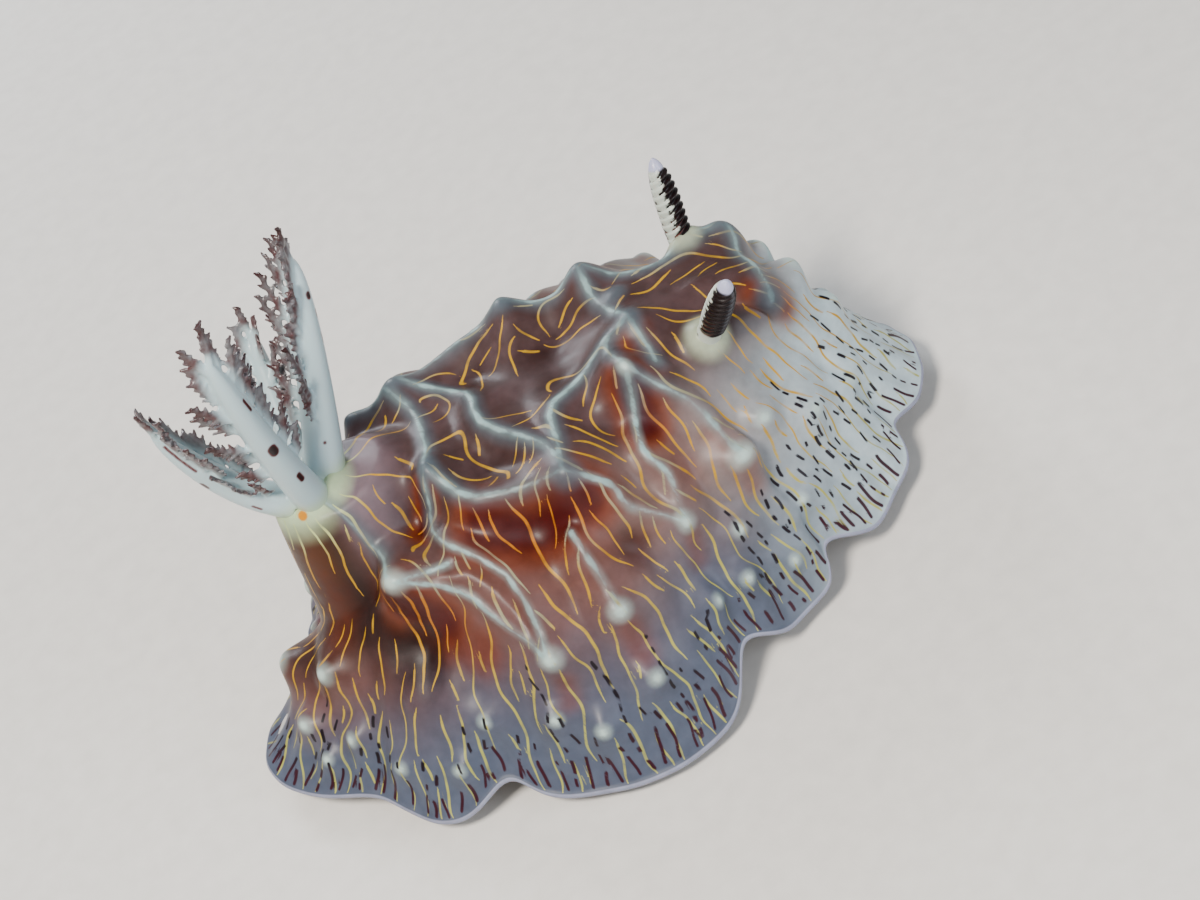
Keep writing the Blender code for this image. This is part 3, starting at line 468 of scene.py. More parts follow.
# %% Edge, underside, foot and head
EDGE_RADIUS = 0.3
SKIRT_WIDTH = 7.0
BELLY_LEVEL = 6.0
FOOT_FRONT = 18.5
FOOT_REAR = -24.0
FOOT_HALF_WIDTH = 9.0
FOOT_WIDEST = 0.72
FOOT_BLUNT = 0.55
FOOT_LEVELS = ((0.0, 0.97), (0.35, 1.0), (0.8, 0.99), (2.4, 0.87), (BELLY_LEVEL, 0.92))
HEAD_CENTRE = (18.4, 0.0, 3.1)
HEAD_SIZE = (5.0, 4.7, 2.9)
MOUTH_DEPTH = 0.9
MOUTH_HALF_WIDTH = 0.4
MOUTH_HALF_HEIGHT = 1.1
LIP_HEIGHT = 0.5
LIP_RADIUS = 1.5
LIP_WIDTH = 0.6
LIP_STRETCH = 1.3

# The grid of the whole skin, from the spine over the edge and down the wall to the middle of the sole.
COLUMNS = 660
BACK_ROWS = 114
EDGE_ROWS = 4
UNDER_ROWS = 11
WALL_ROWS = 14
SOLE_ROWS = 3
ROW_CROWDING = 0.8


def foot_outline(theta):
    """The sole at each angle: rounded at the front, drawn out to a blunt tail."""
    x = (FOOT_FRONT + FOOT_REAR) / 2 + (FOOT_FRONT - FOOT_REAR) / 2 * np.cos(theta)
    share = np.clip((FOOT_FRONT - x) / (FOOT_FRONT - FOOT_REAR), 0, 1)
    wide = np.clip(np.sin(np.pi * share**FOOT_WIDEST), 0, 1) ** FOOT_BLUNT
    return x, FOOT_HALF_WIDTH * wide * np.sign(np.round(np.sin(theta), 9))


def wall(theta, height):
    """The wall of the body at a height above the sole, with the head swelling out of its front."""
    x, y = foot_outline(theta)
    levels, scales = zip(*FOOT_LEVELS)
    scale = np.interp(height, levels, scales)
    x = x * scale
    y = y * scale
    up = (height - HEAD_CENTRE[2]) / HEAD_SIZE[2]
    inside = 1 - (y / HEAD_SIZE[1]) ** 2 - up**2
    snout = HEAD_CENTRE[0] + HEAD_SIZE[0] * np.sqrt(np.clip(inside, 0, 1))
    away = np.hypot(y, (height - HEAD_CENTRE[2]) / LIP_STRETCH)
    lips = LIP_HEIGHT * np.exp(-(((away - LIP_RADIUS) / LIP_WIDTH) ** 2))
    slit = (y / MOUTH_HALF_WIDTH) ** 2 + ((height - HEAD_CENTRE[2]) / MOUTH_HALF_HEIGHT) ** 4
    snout = snout + lips - MOUTH_DEPTH * np.exp(-slit)
    front = (np.cos(theta) > 0) & (inside > 0)
    return np.stack([np.where(front, np.maximum(x, snout), x), y, np.full_like(x, height)], -1)


def whole_skin():
    """Every row of the skin from the spine to the middle of the sole, and what the finish needs."""
    theta = np.linspace(-np.pi, np.pi, COLUMNS + 1)
    x1, y1, z1 = rim(theta)
    x0 = spine(theta)
    width = np.hypot(x1 - x0, y1)
    rows = []
    for row in range(BACK_ROWS + 1):
        share = (row / BACK_ROWS) ** ROW_CROWDING * (1 - EDGE_RADIUS / width)
        points, values = skin(theta, share)
        values["share"] = share
        rows.append((points, values))
    edge = rows[-1][0]
    outward = np.stack([x1 - x0, y1], -1) / width[:, None]
    for row in range(1, EDGE_ROWS + 1):
        angle = math.pi * row / EDGE_ROWS
        points = edge.copy()
        points[:, :2] += outward * EDGE_RADIUS * math.sin(angle)
        points[:, 2] -= EDGE_RADIUS * (1 - math.cos(angle))
        rows.append((points, {"share": 1 + 0 * theta, "under": 0 * theta + row / EDGE_ROWS}))
    low = rows[-1][0]
    top_of_wall = wall(theta, BELLY_LEVEL)
    span = np.linalg.norm((top_of_wall - low)[:, :2], axis=-1)
    for row in range(1, UNDER_ROWS + 1):
        share = row / UNDER_ROWS
        points = low + (top_of_wall - low) * share
        climbed = np.sin(np.clip(span * share / SKIRT_WIDTH, 0, 1) * np.pi / 2)
        points[:, 2] = low[:, 2] + (BELLY_LEVEL - low[:, 2]) * climbed
        rows.append((points, {"share": 1 + 0 * theta, "under": 1 + 0 * theta}))
    for row in range(1, WALL_ROWS + 1):
        height = BELLY_LEVEL * (1 - row / WALL_ROWS)
        rows.append((wall(theta, height), {"share": 1 + 0 * theta, "under": 1 + 0 * theta}))
    sole = rows[-1][0]
    middle = np.stack([spine(theta), 0 * theta, 0 * theta], -1)
    for row in range(1, SOLE_ROWS + 1):
        points = sole + (middle - sole) * row / SOLE_ROWS
        rows.append((points, {"share": 1 + 0 * theta, "under": 1 + 0 * theta}))
    return rows


skin_rows = whole_skin()
grid = np.stack([points for points, _ in skin_rows], 1)
back_grid = grid[:, : BACK_ROWS + 1]
print("skin grid:", grid.shape, "highest point, mm:", round(grid[..., 2].max(), 1))

# %% [markdown]
# ## Lines and dashes that follow the skin
#
# The yellow lines start below a ridge and wander down the slope, and the dark dashes stand across the
# edge. Painted from a noise texture they would ignore the relief, so each line is walked over the
# surface: a step goes mostly downhill and partly outward, and swings from side to side as it goes. A
# line ends where it meets another. What the mesh keeps is only the distance to the nearest line, which
# a shader can cut to a crisp edge finer than the mesh itself.

# %% A way to walk over the grid
STEP = 0.2
MOMENTUM = 0.8
SWING = 0.34
OUTWARD_PULL = 0.3
INNER_ROW = 1.5
TURN_LAG = 6
TURN_LIMIT = 0.3
WAVE_LENGTHS = ((5.0, 9.0), (1.8, 3.2))
WAVE_SHARES = (0.7, 0.3)


def slopes(surface):
    """How the surface runs for one column and one row at each point, and which way is downhill."""
    across = (np.roll(surface[:-1], -1, 0) - np.roll(surface[:-1], 1, 0)) / 2
    across = np.concatenate([across, across[:1]], 0)
    along = np.gradient(surface, axis=1)
    e = np.sum(across * across, -1)
    f = np.sum(across * along, -1)
    g = np.sum(along * along, -1)
    area = np.maximum(e * g - f * f, TINY)
    columns_up = (g * across[..., 2] - f * along[..., 2]) / area
    rows_up = (e * along[..., 2] - f * across[..., 2]) / area
    fall = -(across * columns_up[..., None] + along * rows_up[..., None])
    normal = np.cross(across, along)
    normal = normal / np.maximum(np.linalg.norm(normal, axis=-1, keepdims=True), TINY)
    return {"place": surface, "across": across, "along": along, "fall": fall, "normal": normal}


field = slopes(back_grid)


def read(name, column, row):
    """A value of the back between its grid points."""
    values = field[name]
    i = int(math.floor(column)) % COLUMNS
    j = min(int(math.floor(row)), BACK_ROWS - 1)
    u = column - math.floor(column)
    v = row - j
    near = values[i, j] * (1 - u) + values[i + 1, j] * u
    far = values[i, j + 1] * (1 - u) + values[i + 1, j + 1] * u
    return near * (1 - v) + far * v


def walk(column, row, length, pull, draw, outward=OUTWARD_PULL, centre=None):
    """Points of a line over the back, each with its direction to the side and out of the skin.

    It heads down by the pull and outward, or away from a centre if there is one, and stops before it
    would double back.
    """
    phases = [draw.uniform(0, 2 * math.pi) for _ in WAVE_SHARES]
    waves = [draw.uniform(*lengths) for lengths in WAVE_LENGTHS]
    heading = None
    headings = []
    found = []
    for index in range(int(length / STEP)):
        if not INNER_ROW <= row <= BACK_ROWS:
            break
        across, along = read("across", column, row), read("along", column, row)
        place = read("place", column, row)
        lead = along if centre is None else place - centre
        goal = read("fall", column, row) * pull + lead / np.linalg.norm(lead) * outward
        heading = goal if heading is None else heading * MOMENTUM + goal * (1 - MOMENTUM)
        heading = heading / max(np.linalg.norm(heading), TINY)
        headings.append(heading)
        if index >= TURN_LAG and heading @ headings[-TURN_LAG] < TURN_LIMIT:
            break
        side = np.cross(heading, read("normal", column, row))
        turned = 0.0
        for part, wave, phase in zip(WAVE_SHARES, waves, phases):
            turned += part * math.sin(2 * math.pi * index * STEP / wave + phase)
        step = heading + side * SWING * turned
        step = step / np.linalg.norm(step)
        normal = np.cross(across, along)
        normal = normal / np.linalg.norm(normal)
        found.append((place, np.cross(step, normal), normal))
        a, b = step @ across, step @ along
        e, f, g = across @ across, across @ along, along @ along
        area = max(e * g - f * f, TINY)
        column += (g * a - f * b) / area * STEP
        row += (e * b - f * a) / area * STEP
    return found


# %% [markdown]
# ### Yellow lines
#
# They lie about a millimetre apart, are up to a quarter of a millimetre wide and taper at both ends. The
# first ones run out from the foot of the gills. Some start round each tubercle and fan out from it, and
# the others start at random, more of them near a ridge. One that starts too close to a line that is
# already there is dropped, which spreads them as evenly as the living ones.

# %% Yellow lines
LINE_SPACING = 0.9
START_SPREAD = (0.7, 1.0)
LINE_MEET = 0.78
LINE_HALF_WIDTH = (0.06, 0.12)
LINE_TRIES = 9000
LOOP_LAG = 7
LINE_LENGTH = (4.0, 18.0)
LINE_PULL = 1.6
SHORTEST_LINE = 7
LINE_ZONE = (0.004, 0.9)
ZONE_POWER = 0.7
LINES_PER_TUBERCLE = 6
CREST_ZONE = 1.6
COLLAR_LINES = 23
COLLAR_JITTER = 0.08
COLLAR_START = 3.1
COLLAR_REACH = (5.0, 9.0)
COLLAR_PULL = 0.9

# How a line swells from its start and thins to its end: the width there, and its change per length.
SWELL = (0.4, 5.0)
THIN = (0.3, 4.0)


class Nearby:
    """Points kept in boxes, to ask quickly whether one lies within a distance."""

    def __init__(self, size):
        self.size = size
        self.boxes = {}

    def box(self, point):
        return tuple(int(math.floor(x / self.size)) for x in point)

    def keep(self, point):
        self.boxes.setdefault(self.box(point), []).append(point)

    def any_within(self, point, distance):
        a, b, c = self.box(point)
        for x in (a - 1, a, a + 1):
            for y in (b - 1, b, b + 1):
                for z in (c - 1, c, c + 1):
                    for other in self.boxes.get((x, y, z), ()):
                        if np.sum((other - point) ** 2) < distance**2:
                            return True
        return False


def line_starts(draw):
    """Columns and rows to start lines from: round the tubercles, near ridges, then anywhere."""
    for angle, share, _, radius in TUBERCLES:
        column = (angle + 180) / 360 * COLUMNS
        row = BACK_ROWS * share ** (1 / ROW_CROWDING)
        across, along = read("across", column, row), read("along", column, row)
        first = draw.uniform(0, 2 * math.pi)
        for index in range(LINES_PER_TUBERCLE):
            turned = first + 2 * math.pi * index / LINES_PER_TUBERCLE
            columns = radius * math.cos(turned) / np.linalg.norm(across)
            rows = radius * math.sin(turned) / np.linalg.norm(along)
            yield column + columns, min(max(row + rows, INNER_ROW), BACK_ROWS)
    for index in range(LINE_TRIES):
        column = draw.uniform(0, COLUMNS)
        row = BACK_ROWS * draw.uniform(*LINE_ZONE) ** ZONE_POWER
        crest = skin_rows[int(row)][1]["crest"][int(column)]
        if index > LINE_TRIES / 2 or crest < CREST_ZONE:
            yield column, row


def lay(path, wide, taken, samples):
    """Lays a walked line up to where it meets another line or itself, and tapers both ends."""
    line = []
    for stop in path:
        point = stop[0]
        turns_back = any(np.sum((point - old[0]) ** 2) < LINE_MEET**2 for old in line[:-LOOP_LAG])
        if turns_back or taken.any_within(point, LINE_MEET):
            break
        line.append(stop)
    if len(line) < SHORTEST_LINE:
        return
    for index, (point, side, normal) in enumerate(line):
        share = index / len(line)
        taper = min(1.0, SWELL[0] + SWELL[1] * share, THIN[0] + THIN[1] * (1 - share))
        samples.append((point, side, normal, wide * taper))
        taken.keep(point)


def collar_paths(draw):
    """Walks from the foot of the gills: out over the turret, and down its neck."""
    for index in range(COLLAR_LINES):
        turned = 2 * math.pi * (index + 0.5) / COLLAR_LINES
        turned += draw.uniform(-COLLAR_JITTER, COLLAR_JITTER)
        start = TRUNK_BASE + COLLAR_START * np.array([math.cos(turned), math.sin(turned), 0])
        start[2] = TURRET_TOP
        nearest = np.argmin(np.sum((back_grid - start) ** 2, -1))
        column, row = divmod(int(nearest), BACK_ROWS + 1)
        yield walk(column, row, draw.uniform(*COLLAR_REACH), COLLAR_PULL, draw, centre=TRUNK_BASE)


def draw_lines():
    """The yellow lines: points, the directions to the side and outward, and the half width there."""
    draw = random.Random(SEED)
    taken = Nearby(LINE_SPACING)
    samples = []
    for line in collar_paths(draw):
        lay(line, draw.uniform(*LINE_HALF_WIDTH), taken, samples)
    for column, row in line_starts(draw):
        if taken.any_within(read("place", column, row), LINE_SPACING * draw.uniform(*START_SPREAD)):
            continue
        line = walk(column, row, draw.uniform(*LINE_LENGTH), LINE_PULL, draw)
        lay(line, draw.uniform(*LINE_HALF_WIDTH), taken, samples)
    return samples


lines = draw_lines()
print("yellow lines, mm in all:", round(len(lines) * STEP))

# %% [markdown]
# ### Dark dashes
#
# At the very edge they are long maroon bars, about a millimetre and a quarter apart. Further in they
# break up into short black dashes, and now and then a whole string of them runs up the flank. Each
# string is walked inward from the edge and cut into dashes and gaps.

# %% Dark dashes
STRING_SPACING = 1.2
STRING_SPREAD = (0.65, 1.35)
STRING_REACH = 16.0
STRING_PULL = -0.2
STRING_START = (-0.2, 0.3)
DASH_COUNTS = (1, 2, 2, 3)
MORE_IN_FRONT = 2
MORE_IN_LONG = 6
FRONT_FROM = 0.6
BAR_LENGTH = (1.2, 3.3)
DASH_LENGTH = (0.45, 1.3)
DASH_HALF_WIDTH = (0.10, 0.16)
GAP_LENGTH = (0.45, 1.5)
LONG_STRING_CHANCE = 0.14
LONG_STRING_GAPS = 0.5
DASH_CLEARANCE = 0.6
DASH_END = 0.16
DASH_STEP = 0.1


def between(path, distance):
    """The point and directions of a walked path at a distance along it, or nothing past its end."""
    index = int(distance / STEP)
    if index + 1 >= len(path):
        return None
    part = distance / STEP - index
    return [a + (b - a) * part for a, b in zip(path[index], path[index + 1])]


def draw_dashes():
    """All dashes: points, the directions to the side and outward, and the half width there."""
    draw = random.Random(SEED + 1)
    pace = np.linalg.norm(np.diff(back_grid[:, -1], axis=0), axis=-1)
    reached = np.concatenate([[0], np.cumsum(pace)])
    taken = Nearby(STRING_SPACING)
    samples = []
    at = 0.0
    while at < reached[-1]:
        column = int(np.searchsorted(reached, at)) % COLUMNS
        long_string = draw.random() < LONG_STRING_CHANCE
        ahead = -math.cos(column / COLUMNS * 2 * math.pi)
        count = draw.choice(DASH_COUNTS) + MORE_IN_FRONT * (ahead > FRONT_FROM) + MORE_IN_LONG * long_string
        path = walk(column, BACK_ROWS - 1, STRING_REACH, STRING_PULL, draw, outward=-1)
        place = draw.uniform(*STRING_START)
        string = []
        for index in range(count):
            size = draw.uniform(*(BAR_LENGTH if index == 0 and not long_string else DASH_LENGTH))
            wide = draw.uniform(*DASH_HALF_WIDTH)
            for s in np.arange(place + DASH_END, place + size - DASH_END, DASH_STEP):
                found = between(path, max(s, 0))
                if found and not taken.any_within(found[0], DASH_CLEARANCE):
                    string.append((*found, wide))
            place += size + draw.uniform(*GAP_LENGTH) * (LONG_STRING_GAPS if long_string else 1)
        for sample in string:
            taken.keep(sample[0])
        samples.extend(string)
        at += STRING_SPACING * draw.uniform(*STRING_SPREAD)
    return samples


dashes = draw_dashes()
print("dark dashes, points:", len(dashes))

# %% [markdown]
# ### Distances on the mesh
#
# A tree of points answers which mark is nearest to each point of the back. In a sharp fold that may be
# a mark on the facing wall, so a mark counts only where it and the point look the same way. Two values
# are kept. One is the plain distance, which ends a mark. The other is the distance to the side, negative
# on one side and positive on the other and counted in half widths. It passes through zero between two
# points of the mesh just where the mark runs, so a shader finds the mark there although it is finer
# than the mesh.

# %% Distances on the mesh
FAR = 3.0
FAR_SIDE = 12.0
NEAREST_MARKS = 6
SAME_WAY = 0.25


def distance_to(samples):
    """For each point of the back, its distance to the nearest mark and its place across that mark."""
    tree = KDTree(len(samples))
    for index, sample in enumerate(samples):
        tree.insert(sample[0], index)
    tree.balance()
    plain = np.full(back_grid.shape[:2], FAR)
    side = np.full(back_grid.shape[:2], FAR_SIDE)
    for i in range(back_grid.shape[0]):
        for j in range(back_grid.shape[1]):
            point = back_grid[i, j]
            for _, nearest, away in tree.find_n(point, NEAREST_MARKS):
                at, square, facing, wide = samples[nearest]
                if away < FAR and facing @ field["normal"][i, j] > SAME_WAY:
                    plain[i, j] = away
                    side[i, j] = np.clip((point - at) @ square / wide, -FAR_SIDE, FAR_SIDE)
                    break
    return plain, side


line_distance, line_side = distance_to(lines)
dash_distance, dash_side = distance_to(dashes)
near_a_line = (line_distance < LINE_HALF_WIDTH[1]).mean()
print("points of the back on a line:", round(float(near_a_line) * 100, 1), "%")

# %% [markdown]
# ### Warm patches
#
# Below ridges and tubercles the gut shows through the skin, orange round a deep red, and the deep red
# core is also painted shade under the ridges. Each patch follows a short path over the back and fades
# with the distance from it, like the ridges, so it stays in its place whatever the mesh is.

# %% Warm patches
EMBER_POWER = 2.0

# Patches: strength, radius, and the points that they run through, each an angle and a share.
EMBERS = (
    (1.0, 2.4, ((-65, 0.33), (-68, 0.44))),
    (0.4, 3.2, ((-68, 0.44), (-68, 0.60))),
    (1.0, 3.2, ((-108, 0.42), (-98, 0.48), (-89, 0.48))),
    (0.45, 2.4, ((-90, 0.50), (-89, 0.60))),
    (0.3, 3.4, ((-100, 0.56), (-90, 0.66), (-80, 0.64))),
    (1.0, 3.2, ((-130, 0.50), (-124, 0.60))),
    (0.6, 3.0, ((-126, 0.60), (-118, 0.70))),
    (1.0, 1.5, ((-121, 0.26), (-124, 0.33))),
    (0.75, 2.0, ((-16, 0.37), (-14, 0.45))),
    (0.5, 2.0, ((-57, 0.58), (-57, 0.72))),
    (0.5, 1.8, ((-92, 0.75), (-92, 0.80))),
    (0.45, 1.5, ((-74, 0.75), (-75, 0.80))),
    (0.45, 1.5, ((-104, 0.78), (-105, 0.82))),
    (0.4, 3.2, ((180, 0.30), (180, 0.48))),
    (0.4, 3.0, ((-160, 0.34), (-156, 0.50))),
    (0.3, 2.2, ((-166, 0.30), (-148, 0.36), (-140, 0.44))),
    (0.55, 2.8, ((158, 0.34), (155, 0.50))),
    (0.7, 1.6, ((-52, 0.13), (-56, 0.20))),
    (1.0, 2.4, ((63, 0.33), (65, 0.44))),
    (1.0, 3.0, ((106, 0.38), (96, 0.44), (86, 0.46))),
    (0.95, 3.0, ((128, 0.45), (122, 0.58))),
    (0.6, 1.8, ((25, 0.46), (24, 0.50))),
    (0.5, 2.0, ((54, 0.58), (55, 0.72))),
    (0.5, 1.8, ((90, 0.76), (90, 0.80))),
    (0.45, 1.6, ((106, 0.76), (107, 0.80))),
)


def ember_glow():
    """How strongly the warm colour shows at each point of the back."""
    theta = np.linspace(-np.pi, np.pi, COLUMNS + 1)
    glow = np.zeros(back_grid.shape[:2])
    for row in range(BACK_ROWS + 1):
        share = skin_rows[row][1]["share"]
        points = back(theta, share)
        normals = back_normal(theta, share)
        for strength, radius, places in EMBERS:
            away = distance_to_path(points, normals, places)
            glow[:, row] = np.maximum(glow[:, row], bump(away, strength, radius, EMBER_POWER))
    return glow


ember = ember_glow()
print("points of the back that glow:", round(float((ember > 0.5).mean()) * 100, 1), "%")

# %% [markdown]
# ## One skin
#
# The grid operator makes the quads, and the worked-out surface places them. Where the grid closes on
# itself, at the middle line of the back and of the sole, doubled points are merged. Every value that
# the finish reads is written to the points as an attribute of the mesh.

# %% One skin
BACK_VALUES = {
    "line": line_distance,
    "line_side": line_side,
    "dash": dash_distance,
    "dash_side": dash_side,
    "ember": ember,
}
MERGE_DISTANCE = 1e-7
VALUES = ("share", "under", "lift", "tip", "crown", "crest", "collar", "sheath", "patch", *BACK_VALUES)

# What a point has where its row gives no value: it is far from everything.
DEFAULTS = {
    **dict.fromkeys(("tip", "crown", "crest", "collar", "patch"), AWAY),
    **dict.fromkeys(("line", "dash"), FAR),
    **dict.fromkeys(("line_side", "dash_side"), FAR_SIDE),
}


def skin_mesh():
    """The whole skin as one bmesh, with its values on the points."""
    rows = grid.shape[1] - 1
    table = {name: np.full(grid.shape[:2], DEFAULTS.get(name, 0.0)) for name in VALUES}
    for row, (_, values) in enumerate(skin_rows):
        for name, value in values.items():
            table[name][:, row] = value
    for name, value in BACK_VALUES.items():
        table[name][:, : BACK_ROWS + 1] = value
    mesh = bmesh.new()
    bmesh.ops.create_grid(mesh, x_segments=COLUMNS, y_segments=rows, size=0.5)
    layers = {name: mesh.verts.layers.float.new(name) for name in VALUES}
    for vert in mesh.verts:
        i = round((vert.co.x + 0.5) * COLUMNS)
        j = round((vert.co.y + 0.5) * rows)
        vert.co = Vector(grid[i, j]) * MM
        for name, layer in layers.items():
            vert[layer] = table[name][i, j]
    bmesh.ops.remove_doubles(mesh, verts=mesh.verts, dist=MERGE_DISTANCE)
    bmesh.ops.dissolve_degenerate(mesh, edges=mesh.edges, dist=MERGE_DISTANCE)
    return mesh


# %% [markdown]
# ### Masks and layers
#
# A finish here is a stack of colours, each laid over the last through masks. A mask is cut smoothly
# from something that varies over the piece: a value of its points, a noise of a real size, or the place
# along the animal. Tables name all of these, so a finish reads as a list and loops make its nodes. A
# painted picture would give the same look, but no number of it could be changed later.

# %% Masks and layers


def sources_of(tree, place, attributes, noises):
    """What masks are cut from: attributes of the points, and noises by size in mm and detail."""
    sources = {}
    for name in attributes:
        sources[name] = add(tree, "ShaderNodeAttribute", attribute_name=name).outputs["Fac"]
    for name, (size, detail) in noises.items():
        inputs = {"Vector": place, "Scale": 1 / (size * MM), "Detail": detail}
        sources[name] = add(tree, "ShaderNodeTexNoise", inputs).outputs[0]
    return sources


def masks_of(tree, sources, table, shape="SMOOTHSTEP"):
    """Masks by name, from a table.

    A row names a source and holds its values where the mask starts and ends, and then what the mask is
    at these two, where that isn't 0 and 1.
    """
    masks = {}
    for name, (source, start, end, *levels) in table.items():
        low, high = levels or (0.0, 1.0)
        inputs = {0: sources[source], 1: start, 2: end, 3: low, 4: high}
        masks[name] = add(tree, "ShaderNodeMapRange", inputs, interpolation_type=shape).outputs[0]
    return masks


def layered(tree, masks, base, layers):
    """Lays colours over a first one, each through the product of the masks that it names."""
    colour = linear(base)
    for tint, first, *others in layers:
        mask = masks[first]
        for other in others:
            both = {0: mask, 1: masks[other]}
            mask = add(tree, "ShaderNodeMath", both, operation="MULTIPLY").outputs[0]
        top = tint if isinstance(tint, bpy.types.NodeSocket) else linear(tint)
        colour = add(tree, "ShaderNodeMix", {0: mask, 6: colour, 7: top}, data_type="RGBA").outputs[2]
    return colour


# %% [markdown]
# ### Wet, translucent skin
#
# Living mantle is a clear jelly over coloured tissue: light goes in, scatters for about a millimetre
# and comes out softened, and the wet surface adds small bright reflections. So the shader is a
# Principled one with a little subsurface scattering and a thin coat. The colours are laid as the animal
# has them: mauve on the back, lilac to the edge, warm patches, then lines, ridges, tips and dashes.
# Some are painted light and shade as well. The hollows are painted darker, down to near black, and the
# rear slope behind the turret is painted dark. The warm patches have a core that is partly painted
# shade, and the pale front flank is partly painted light.

# %% Wet, translucent skin
MAUVE_BACK = "#3a2827"
ROSE_FLANK = "#593b36"
FLANK_GREY = "#70625f"
NECK_OCHRE = "#2f1c05"
# Painted shade that darkens the rear slope behind the turret.
REAR_SLOPE_SHADE = "#1c0b07"
LILAC_EDGE = "#464d5d"
# Pale blue-white of the front flank: partly the animal's own colour, partly painted light.
PALE_AND_LIT_FRONT = "#a3b3b9"
# Dark red-brown for the valleys: partly the skin's own colour, partly painted shade in the hollows.
VALLEY_RED_AND_SHADE = "#220c0a"
# The deep red core of the warm patches: partly the skin's colour, partly painted shade under ridges.
EMBER_RED_AND_SHADE = "#3b0503"
EMBER_ORANGE = "#682a0a"
COLLAR_GREEN = "#a3b592"
PATCH_ORANGE = "#b8780a"
SHEATH_CREAM = "#98a08a"
LINE_YELLOW = "#aa820e"
LINE_ORANGE = "#a5640a"
LINE_PALE = "#96964c"
LINE_WHITE = "#7c8372"
LINE_GREEN = "#a8b27a"
RIDGE_PALE = "#86a0a0"
RIDGE_SHADE = "#47525a"
APRON_MAUVE = "#74656e"
CLOUD_ROSE = "#6d565b"
# Near black painted into the deepest hollows as shade.
HOLLOW_SHADE_BLACK = "#100505"
TIP_PALE = "#a8bbb5"
DASH_BLACK = "#100610"
DASH_MAROON = "#2c0716"
EDGE_PALE = "#7f8396"
UNDER_CREAM = "#b0aaa8"
WRINKLE_STRENGTH = 0.25
WRINKLE_DEPTH = 0.03

# Noises: the size of their largest patches in mm, and their detail.
SKIN_NOISES = {
    "grain": (1.1, 4.0),
    "mottle": (4.0, 2.0),
    "cloud": (2.6, 3.0),
    "streaks": (1.8, 2.0),
    "wander": (1.5, 2.0),
    "wrinkle": (0.5, 1.0),
}

# Levels run straight from one value to the other, and masks ease in and out at both ends.
SKIN_LEVELS = {
    "wander": ("wander", 0.3, 0.7, -0.1, 0.16),
    "tint": ("grain", 0.3, 0.7, 0.88, 1.1),
    "gloss": ("grain", 0.3, 0.7, 0.36, 0.5),
}
SKIN_MASKS = {
    "upper": ("share", 0.5, 0.3),
    "flank": ("share", 0.30, 0.62),
    "above_edge": ("share", 0.7, 0.52, 0.0, 0.85),
    "edge": ("share", 0.62, 0.90),
    "near_rim": ("share", 0.86, 0.95),
    "rim": ("share", 0.991, 0.998),
    "under": ("under", 0.75, 1.0),
    "front": ("x", 8 * MM, 27 * MM),
    "ahead": ("x", -5 * MM, 7 * MM, 0.0, 0.6),
    "before": ("x", -19 * MM, -15 * MM),
    "behind": ("x", -14 * MM, -18.5 * MM),
    # Painted shade over a real red-brown: the lower the relief, the darker the skin.
    "valley": ("lift", 0.7, -0.9),
    # Painted shade: near black where the relief sinks deepest.
    "notch": ("lift", -0.7, -1.5, 0.0, 0.7),
    "ember": ("ember", 0.1, 0.85),
    # The core of the warm patches is partly painted shade.
    "ember_core": ("ember", 0.45, 1.0),
    "collar": ("collar", 4.6, 2.9),
    "collar_lines": ("collar", 6.0, 3.6),
    "apron": ("collar", 9.0, 4.5, 0.0, 0.7),
    "neck": ("collar", 8.5, 5.0, 0.0, 0.85),
    "patch": ("patch", 0.12, -0.08),
    "sheath": ("sheath", 0.1, 0.8),
    "crest": ("wandering_crest", 0.26, 0.04),
    "crest_glow": ("crest", 0.65, 0.0),
    "crest_shade": ("crest", 1.3, 0.3, 0.0, 0.55),
    "crest_zone": ("crest", 1.4, 0.5, 0.0, 0.8),
    "crown": ("crown", 0.8, 0.25, 0.0, 0.7),
    "tip": ("tip", 0.42, 0.1, 0.0, 0.9),
    "tip_glow": ("tip", 0.9, 0.2, 0.0, 0.5),
    "cloud": ("cloud", 0.4, 0.7, 0.0, 0.16),
    "patchy": ("mottle", 0.35, 0.65, 0.8, 1.0),
    "faint": ("mottle", 0.35, 0.65, 0.12, 0.4),
    "broken": ("mottle", 0.35, 0.65, 0.35, 1.0),
    "drawn": ("streaks", 0.3, 0.55, 0.5, 1.0),
    "line": ("line", 0.3, 0.15),
    "line_width": ("line_across", 1.45, 0.6),
    "dash": ("dash", 0.3, 0.15),
    "dash_width": ("dash_across", 1.45, 0.6),
}
LINE_LAYERS = (
    (LINE_ORANGE, "ember"),
    (LINE_WHITE, "crest_zone"),
    (LINE_PALE, "edge"),
    (LINE_GREEN, "collar_lines"),
)


def skin_sources(tree, place):
    """The skin's sources, with the place along it, a wandering crest, and how far across a mark is."""
    sources = sources_of(tree, place, VALUES, SKIN_NOISES)
    levels = masks_of(tree, sources, SKIN_LEVELS, "LINEAR")
    sources["x"] = add(tree, "ShaderNodeSeparateXYZ", {0: place}).outputs[0]
    inputs = {0: sources["crest"], 1: levels["wander"]}
    sources["wandering_crest"] = add(tree, "ShaderNodeMath", inputs, operation="ADD").outputs[0]
    for name in ("line", "dash"):
        inputs = {0: sources[name + "_side"]}
        across = add(tree, "ShaderNodeMath", inputs, operation="ABSOLUTE").outputs[0]
        sources[name + "_across"] = across
    return sources, levels


